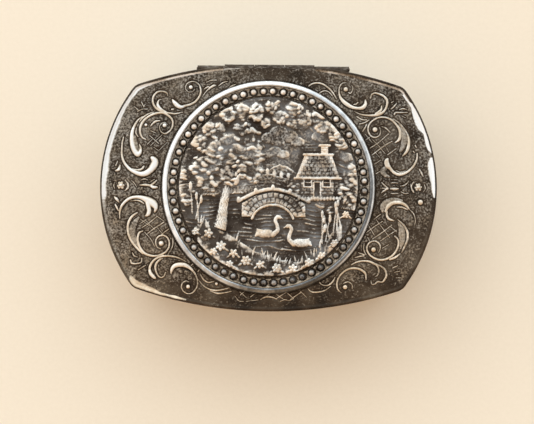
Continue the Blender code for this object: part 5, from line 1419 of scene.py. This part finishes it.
def add_sky(relief, u, v):
    """Low clouds with rolled edges over a sky of fine level strokes."""
    strokes = np.sin(2 * math.pi * (v / 0.034 + 0.5 * value_noise(u, v, 0.22, 71)))
    broken = smoothstep(-0.2, 0.4, value_noise(u * 0.4, v, 0.060, 72))
    relief.height += 0.08 + 0.085 * smoothstep(0.0, 0.9, strokes) * broken
    for index, (x, y, radius) in enumerate(CLOUD_SHARES):
        relief.dome(x, y, (radius, radius * 0.72), 0.16, base=0.10 + 0.02 * (index % 3))
        angles = np.linspace(-0.3, math.pi + 0.3, 14)
        edge = [(*on_ellipse(x, y, radius * 0.92, radius * 0.66, angle), 0.013) for angle in angles]
        relief.stroke(edge, 5.0, base=0.20)


def add_hills(relief, u, v):
    """Two ranges of hills with a row of trees on the nearer one."""
    for index, points in enumerate(HILL_SHARES):
        below = line_height(points, u) + 0.012 * value_noise(u, v * 0.0, 0.05, 80 + index) - v
        rows = np.sin(2 * math.pi * (below / 0.045 + 0.3 * value_noise(u, v, 0.12, 82 + index)))
        level = 0.16 + 0.10 * index + 0.06 * smoothstep(0.1, 0.9, rows) + 0.08 * smoothstep(0.05, 0.0, below)
        relief.fill(below > 0, level * smoothstep(0.0, 0.015, below) + 0.05)
    for x in -0.95 + 0.078 * np.arange(26):
        if -0.34 < x < 0.30 or x > 0.74:
            relief.dome(x, line_height(HILL_SHARES[1], x), (0.024, 0.050), 0.20, base=0.24)


def add_water(relief, u, v):
    """The rippled water and the tufts of the far bank. Returns how far below the bank each point is."""
    depth = line_height(FAR_BANK_SHARES, u) - v
    ripple = np.sin(2 * math.pi * (v / 0.046 + 0.65 * value_noise(u * 0.7, v, 0.13, 85)))
    broken = smoothstep(-0.35, 0.25, value_noise(u * 0.45, v, 0.055, 86))
    relief.fill(depth > 0, 0.06 + 0.14 * smoothstep(0.0, 1.0, ripple) * broken)
    tufts = abs(np.sin(u * 95 + 3 * value_noise(u, v, 0.05, 87)))
    relief.fill((depth > -0.055) & (depth < 0.02), np.maximum(relief.height, 0.26 + 0.14 * tufts))
    return depth


def stone_joints(x, y, length, height, joint):
    """0 in the joints of a running bond and 1 on the stones."""
    row = np.floor(y / height)
    across = abs((x / length + 0.5 * (row % 2)) % 1.0 - 0.5) * length
    along = abs((y / height) % 1.0 - 0.5) * height
    return smoothstep(0.0, joint, length / 2 - across) * smoothstep(0.0, joint, height / 2 - along)


def add_bridge(relief, u, v):
    distance = edge_distance(BRIDGE_SHARES, u, v)
    from_middle = np.hypot(u - 0.05, v + 0.42)
    stones = stone_joints(np.arctan2(v + 0.42, u - 0.05) * 0.30, from_middle, 0.055, 0.060, 0.010)
    relief.fill(distance > 0, (0.40 + 0.14 * stones) * smoothstep(0.0, 0.012, distance) + 0.04)
    relief.curve([(x, y, 0.020) for x, y in PARAPET_SHARES], 8.0, base=0.46)
    ring = [(*on_ellipse(0.05, -0.40, 0.235, 0.20, angle), 0.014) for angle in np.linspace(0.25, 2.89, 20)]
    relief.stroke(ring, 7.0, base=0.46)
    for x, y in PARAPET_SHARES:
        relief.dome(x, y + 0.02, (0.020, 0.030), 0.22, base=0.50)


def add_cottage(relief, u, v):
    """Stone walls with openings under a tiled roof, a chimney with smoke, and a hedge in front."""
    wall = inside(WALL_SHARES, u, v)
    relief.fill(wall, 0.42 + 0.10 * stone_joints(u - 0.36, v + 0.12, 0.066, 0.036, 0.008))
    for left, low, right, high in OPENING_SHARES:
        hole = edge_distance([(left, low), (right, low), (right, high), (left, high)], u, v)
        relief.fill(hole > 0, 0.22)
        relief.fill((hole > -0.014) & (hole <= 0), 0.62)
    middle_bars = wall & (abs(v - 0.05) < 0.005) & (abs(u - 0.54) > 0.05)
    relief.fill(middle_bars & (relief.height < 0.3), 0.5)
    course = (v - 0.10) / 0.042
    tile = abs(((u - 0.30) / 0.044 + 0.5 * (np.floor(course) % 2)) % 1.0 - 0.5)
    tiles = smoothstep(0.48, 0.30, tile) * (0.35 + 0.65 * (1 - course % 1.0))
    relief.fill(inside(ROOF_SHARES, u, v), 0.62 + 0.12 * tiles)
    bricks = stone_joints(u - 0.58, v - 0.32, 0.040, 0.026, 0.007)
    relief.fill(inside(CHIMNEY_SHARES, u, v), 0.62 + 0.10 * bricks)
    for left, right, y, width, base in COPING_SHARES:
        relief.stroke([(left, y, width), (right, y, width)], 6.0, base)
    relief.curve(SMOKE_SHARES, 6.0, base=0.14)
    for x in np.arange(0.34, 0.80, 0.035):
        relief.dome(x, -0.125, (0.020, 0.028), 0.25, base=0.40)


def add_tree(relief, u, v):
    """Trunk, branches and twigs, with clumps of leaves over them and boughs round the rim."""
    for points in [TRUNK_SHARES, *BRANCH_SHARES]:
        relief.curve(points, 9.0, base=0.10)
    bark = np.sin(u * 260 + 6 * value_noise(u, v, 0.05, 91))
    on_trunk = (relief.crest > 0.05) & (v < 0.05) & (v > -0.62) & (u < -0.30) & (relief.height > 0.3)
    relief.height += np.where(on_trunk, 0.06 * bark, 0.0)
    for points in LEAF_TWIG_SHARES:
        relief.curve(points, 9.0, base=0.16)
    wobble = 0.035 * value_noise(u, v, 0.10, 92)
    distance, pick = cell_distance(u * 0.72 + wobble, v * 1.25 - wobble, 0.050, 93)
    leaves = 0.30 * np.sqrt(np.clip(1 - (distance / 0.64) ** 2, 0, 1)) * (0.30 + 0.70 * pick)
    for x, y, radius, rise in CLUMP_SHARES + BOUGH_SHARES:
        away = np.hypot(u - x, v - y)
        where = np.nonzero(away < radius * 1.3)
        ragged = radius * (1 + 0.22 * value_noise(u[where], v[where], 0.050, 94))
        crest = np.clip(1 - (away[where] / ragged) ** 2, 0.0, 1.0)
        height = np.where(crest > 0, 0.10 + (rise - 0.40) * smoothstep(0.0, 0.8, crest) + leaves[where], 0.0)
        relief.lift(where, height, crest)


def add_swan(relief, x, y, way):
    """A swan with layered feathers, facing along way, and two waves below it."""

    def placed(points):
        return [(x + way * dx, y + dy, width) for dx, dy, width in points]

    relief.dome(x, y, (0.120, 0.056), 0.58, base=0.12)
    for index in range(6):
        start = (0.035 - index * 0.020, 0.034 - index * 0.003, 0.012)
        middle = (-0.030 - index * 0.016, 0.030 - index * 0.010, 0.013)
        end = (-0.105 - index * 0.004, 0.052 - index * 0.015, 0.004)
        relief.curve(placed([start, middle, end]), 6.0, base=0.52)
    relief.curve(placed(NECK_SHARES), 11.0, base=0.42)
    relief.stroke(placed(BEAK_SHARES), 14.0, base=0.42)
    for reach, drop in ((0.17, 0.052), (0.21, 0.078)):
        wave = [(-reach, 0.012 - drop, 0.005), (0.0, -0.010 - drop, 0.010), (reach, 0.012 - drop, 0.005)]
        relief.curve(placed(wave), 10.0, base=0.16)


def add_near_bank(relief, u, v):
    """Rocks, grass and blossoms along the front, with reeds at both ends of the water."""
    below = np.where((u > -0.78) & (u < 0.82), line_height(BANK_SHARES, u) - v, -1.0)
    distance, pick = cell_distance(u, v * 1.35, 0.105, 101)
    rocks = np.sqrt(np.clip(1 - (distance / 0.72) ** 2, 0, 1)) * (0.45 + 0.55 * pick)
    relief.fill(below > 0, (0.24 + 0.34 * rocks) * smoothstep(0.0, 0.02, below))
    for index in range(120):
        pick = np.random.default_rng(110 + index).uniform(0.0, 1.0, 4)
        x = -0.78 + 1.60 * pick[0]
        y = line_height(BANK_SHARES, x) - 0.02 - 0.16 * pick[1]
        lean = (pick[2] - 0.5) * 0.07
        blade = [(x, y, 0.011), (x + lean * 0.4, y + 0.045, 0.009), (x + lean, y + 0.085, 0.003)]
        relief.curve(blade, 9.0, base=0.30 + 0.16 * pick[3])
    for index, (x, y) in enumerate(REED_SHARES):
        lean = 0.03 * math.sin(index * 2.3)
        height = 0.26 + 0.06 * math.cos(index * 1.7)
        top = (x + 2 * lean, y + height)
        relief.curve([(x, y, 0.009), (x + lean, y + height * 0.6, 0.008), (*top, 0.007)], 9.0, base=0.44)
        relief.dome(*top, (0.017, 0.046), 0.30, base=0.46, turn=-lean)
    for index, (x, y, radius) in enumerate(BLOSSOM_SHARES):
        petals = 5 + index % 2
        for petal in range(petals):
            angle = 2 * math.pi * (petal + 0.37 * index) / petals
            centre = on_ellipse(x, y, radius * 0.62, radius * 0.62, angle)
            relief.dome(*centre, (radius * 0.46, radius * 0.36), 0.24, base=0.58, turn=angle)
        relief.dome(x, y, (radius * 0.26, radius * 0.26), 0.18, base=0.76)
        for side in (-1, 1):
            leaf = (x + side * radius * 1.15, y - radius * 0.75)
            relief.dome(*leaf, (radius * 0.62, radius * 0.26), 0.26, base=0.40, turn=side * -0.6)


# Base


def quarter_turn(steps):
    return [math.pi / 2 * step / steps for step in range(steps + 1)]


def cove(corner_inset, from_height, wall_inset, to_height):
    """A hollow quarter curve from a moulding's edge to the wall."""
    return [
        (corner_inset + (wall_inset - corner_inset) * math.sin(angle),
         to_height - (to_height - from_height) * math.cos(angle))
        for angle in quarter_turn(COVE_STEPS)
    ]


def rounded_corner(inset, height, height_way, from_side):
    """A small round at a moulding's edge, going from its side to its face or back."""
    points = [
        (inset + EDGE_SOFTENING * (1 - math.cos(angle)),
         height + EDGE_SOFTENING * height_way * (1 - math.sin(angle)))
        for angle in quarter_turn(BEND_STEPS)
    ]
    return points if from_side else points[::-1]


def make_base_wall(finish):
    """The wall with its foot and flange, its top moulding drawn back where the hinge stands."""
    flange_low = BASE_HEIGHT - FLANGE_HEIGHT
    cove_low = flange_low - FLANGE_COVE_HEIGHT
    profile = rounded_corner(FOOT_INSET, 0.0, 1, from_side=False)
    profile += rounded_corner(FOOT_INSET, FOOT_HEIGHT, -1, from_side=True)
    profile += cove(FOOT_INSET + EDGE_SOFTENING, FOOT_HEIGHT, WALL_INSET, FOOT_HEIGHT + FOOT_COVE_HEIGHT)[1:]
    profile += cove(FLANGE_INSET + EDGE_SOFTENING, flange_low, WALL_INSET, cove_low)[:0:-1]
    profile += rounded_corner(FLANGE_INSET, flange_low, 1, from_side=False)
    profile += rounded_corner(FLANGE_INSET, BASE_HEIGHT, -1, from_side=True)
    profile += [(WALL_INNER_INSET, BASE_HEIGHT), (WALL_INNER_INSET, 0.0)]
    points = swept(profile, BASE_STRIDE)
    wall = outline(WALL_INSET)[::BASE_STRIDE]
    cleared = (wall[:, 0] >= HINGE_LEFT) & (wall[:, 0] <= HINGE_RIGHT) & (wall[:, 1] > 0)
    for row, (inset, height) in enumerate(profile):
        if inset < WALL_INSET and height > cove_low - SEAT_GAP:
            points[row, cleared, :2] = wall[cleared]
    obj = ring_object("base_shell", points, {"wear_and_light": base_wear(*np.moveaxis(points, 2, 0))})
    obj.data.set_sharp_from_angle(angle=SHARP_ANGLE)
    dress(obj, "base", finish, "silver_plate_base", "base_wall")


def base_wear(x, y, z):
    """Wear of the wall, most on the foot and the flange."""
    turn = np.arctan2(y, x) * 0.030
    foot = smoothstep(*FOOT_WEAR, abs(z - FOOT_HEIGHT / 2))
    lip = smoothstep(*FLANGE_WEAR, abs(z - BASE_HEIGHT + FLANGE_HEIGHT / 2))
    rubbed = 0.34 * np.maximum(foot, lip) * (0.7 + 0.5 * fractal_noise(turn, z, MOULDING_PATCH, 133))
    return 0.20 + 0.16 * fractal_noise(turn, z, SHELL_PATCH, 131) + rubbed


# Linings


def cushion(name, inset, seat, height, finish, body, node):
    """A velvet pad blown up from its flat cut with cloth, then set back on its seat."""
    room = abs(height)
    thickness = room * PAD_FLAT_SHARE * CLOTH_SCALE
    obj = flat_pad(name, outline(inset + PAD_EASE)[::PAD_STRIDE] * CLOTH_SCALE, thickness)
    start = vertex_places(obj)
    swell(obj, start, thickness)
    moved = vertex_places(obj) - start
    reach = np.maximum(np.linalg.norm(moved, axis=1, keepdims=True), 1e-9)
    settled = (start + moved * np.minimum(1.0, room * CLOTH_SCALE * PAD_SWELL_SHARE / reach)) / CLOTH_SCALE
    settled[:, 2] *= (room - PAD_ROOM) / max(settled[:, 2].max(), 1e-9)
    settled[:, 2] = seat + math.copysign(1.0, height) * np.maximum(settled[:, 2], 0.0)
    obj.data.vertices.foreach_set("co", settled.ravel())
    if height < 0:
        obj.data.flip_normals()
    obj.data.shade_smooth()
    smooth = obj.modifiers.new("softened", "SUBSURF")
    smooth.levels = 1
    smooth.render_levels = 1
    dress(obj, body, finish, "velvet", node)


def flat_pad(name, loop, thickness):
    """The pad before it is blown up: its outline as a thick sheet of even small faces."""
    count = len(loop)
    points = np.vstack([np.insert(loop, 2, height, axis=1) for height in (0.0, thickness)])
    mesh = bpy.data.meshes.new(name)
    caps = [list(range(count))[::-1], list(range(count, 2 * count))]
    sides = [(i, (i + 1) % count, count + (i + 1) % count, count + i) for i in range(count)]
    mesh.from_pydata(points.tolist(), [], caps + sides)
    mesh.remesh_voxel_size = CLOTH_CELL
    obj = link_object(name, mesh)
    bpy.context.view_layer.objects.active = obj
    bpy.ops.object.select_all(action="DESELECT")
    obj.select_set(True)
    bpy.ops.object.voxel_remesh()
    return obj


def vertex_places(obj):
    places = np.empty(len(obj.data.vertices) * 3)
    obj.data.vertices.foreach_get("co", places)
    return places.reshape(-1, 3)


def swell(obj, start, thickness):
    """Runs the cloth with pressure inside, its underside held to the card."""
    held = obj.vertex_groups.new(name="held")
    held.add([int(i) for i in np.nonzero(start[:, 2] < thickness * 0.2)[0]], 1.0, "REPLACE")
    cloth = obj.modifiers.new("cloth", "CLOTH")
    settings = cloth.settings
    settings.quality = 6
    settings.vertex_group_mass = "held"
    settings.use_pressure = True
    settings.uniform_pressure_force = 4.0
    settings.effector_weights.gravity = 0.0
    settings.shrink_min = -0.03
    settings.bending_stiffness = 0.4
    cloth.collision_settings.use_collision = False
    scene = bpy.context.scene
    scene.frame_start = 1
    scene.frame_end = CLOTH_FRAMES
    for number in range(1, CLOTH_FRAMES + 1):
        scene.frame_set(number)
    bpy.ops.object.modifier_apply(modifier="cloth")
    scene.frame_set(1)


def make_lining_strip(finish):
    """The velvet strip round the inside of the wall, with a rolled and uneven top edge."""
    low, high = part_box("base_lining_wall")
    outer = WALL_INNER_INSET + SEAT_GAP
    half = STRIP_THICKNESS / 2
    profile = [(outer, low.z)]
    for step in range(BEND_STEPS * 2 + 1):
        angle = math.pi * step / (BEND_STEPS * 2)
        profile.append((outer + half * (1 - math.cos(angle)), high.z - half * (1 - math.sin(angle))))
    profile.append((outer + STRIP_THICKNESS, low.z))
    points = swept(profile, STRIP_STRIDE)
    x, y, z = np.moveaxis(points, 2, 0)
    turn = np.arctan2(y, x)
    z -= np.where(z > high.z - STRIP_THICKNESS, STRIP_DIP * (1 + value_noise(turn, turn * 0, 0.09, 141)), 0.0)
    obj = ring_object("lining_strip", points)
    dress(obj, "base", finish, "velvet", "base_lining_wall")


# Light, camera and floor


def make_stage():
    """The pale floor, the dome of light round it and the window."""
    scene = bpy.context.scene
    scene.view_settings.view_transform = "Standard"
    mesh = bpy.data.meshes.new("floor")
    corners = [(x * FLOOR_REACH, y * FLOOR_REACH, 0.0) for x, y in ((-1, -1), (1, -1), (1, 1), (-1, 1))]
    mesh.from_pydata(corners, [], [(0, 1, 2, 3)])
    mesh.materials.append(floor_material("floor"))
    floor = link_object("floor", mesh)
    scene.world = bpy.data.worlds.new("studio")
    scene.world.use_nodes = True
    tree = scene.world.node_tree
    place = add_node(tree, "ShaderNodeTexCoord", {}).outputs["Generated"]
    lights = {}
    for channel, (level, slope) in enumerate(DOME_LIGHT):
        toward = vector_node(tree, "DOT_PRODUCT", place, slope)["Value"]
        light = math_node(tree, "ADD", toward, level)
        lights[channel] = math_node(tree, "MAXIMUM", light, LEAST_DOME_LIGHT)
    color = add_node(tree, "ShaderNodeCombineXYZ", lights).outputs[0]
    fill_inputs(tree, tree.nodes["Background"], {"Color": color, "Strength": DOME_STRENGTH})
    data = bpy.data.lights.new("window", "AREA")
    data.shape = "RECTANGLE"
    data.size, data.size_y = WINDOW_SIZE
    data.energy = WINDOW_POWER
    data.color = WINDOW_COLOR
    lamp = link_object("window", data)
    lamp.location = WINDOW_PLACE
    lamp.rotation_mode = "QUATERNION"
    lamp.rotation_quaternion = (Vector((0.0, 0.0, LID_TOP)) - lamp.location).to_track_quat("-Z", "Y")


def make_camera():
    """Nearly straight above, from a little in front, with the lid where the photograph has it."""
    data = bpy.data.cameras.new("camera")
    data.lens = CAMERA_LENS
    data.sensor_width = CAMERA_SENSOR
    data.clip_start, data.clip_end = CAMERA_CLIP
    camera = link_object("camera", data)
    shift_x = (PHOTO_SIZE[0] / 2 - OBJECT_PIXEL[0]) * PIXEL
    shift_y = (OBJECT_PIXEL[1] - PHOTO_SIZE[1] / 2) * PIXEL
    target = Vector((shift_x, shift_y, LID_TOP))
    back = Vector((0.0, -math.cos(CAMERA_ELEVATION), math.sin(CAMERA_ELEVATION)))
    turn = (-back).to_track_quat("-Z", "Y").to_matrix().to_4x4()
    roll = Matrix.Rotation(PHOTO_TURN, 4, "Z")
    camera.matrix_world = Matrix.Translation(target + back * CAMERA_DISTANCE) @ turn @ roll
    bpy.context.scene.camera = camera


def build():
    make_camera()
    make_stage()
    silver = {
        name: aged_silver(name, darks, brights, **settings)
        for name, (darks, brights, settings) in SILVERS.items()
    }
    velvet = velvet_material("velvet")
    card = card_material("backing_card")
    make_lid_field(silver["patinated_silver"])
    make_lid_band(silver["rim_silver"])
    make_gap_shade_discs(silver["hinge_metal"])
    make_bezel(silver["bright_ring"])
    make_bead_track(silver["patinated_silver"])
    make_beads(silver["bead_silver"])
    make_picture(silver["picture_silver"])
    make_base_wall(silver["shell_silver"])
    make_lining_strip(velvet)
    low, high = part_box("base_lining_pad")
    cushion("base_cushion", BASE_PAD_INSET, low.z, high.z - low.z, velvet, "base", "base_lining_pad")
    low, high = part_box("lid_lining_pad")
    cushion("lid_cushion", LID_PAD_INSET, high.z, low.z - high.z, velvet, "lid", "lid_lining_pad")
    carried_over = {
        "base_bottom": silver["shell_silver"], "base_lining_card": card, "lid_lining_card": card,
        "hinge_base_leaf": silver["hinge_metal"], "hinge_lid_leaf": silver["hinge_metal"],
        "hinge_pin": silver["hinge_metal"],
    }
    for name, finish in carried_over.items():
        materials = frame["nodes"][name].data.materials
        materials.clear()
        materials.append(finish)


build()
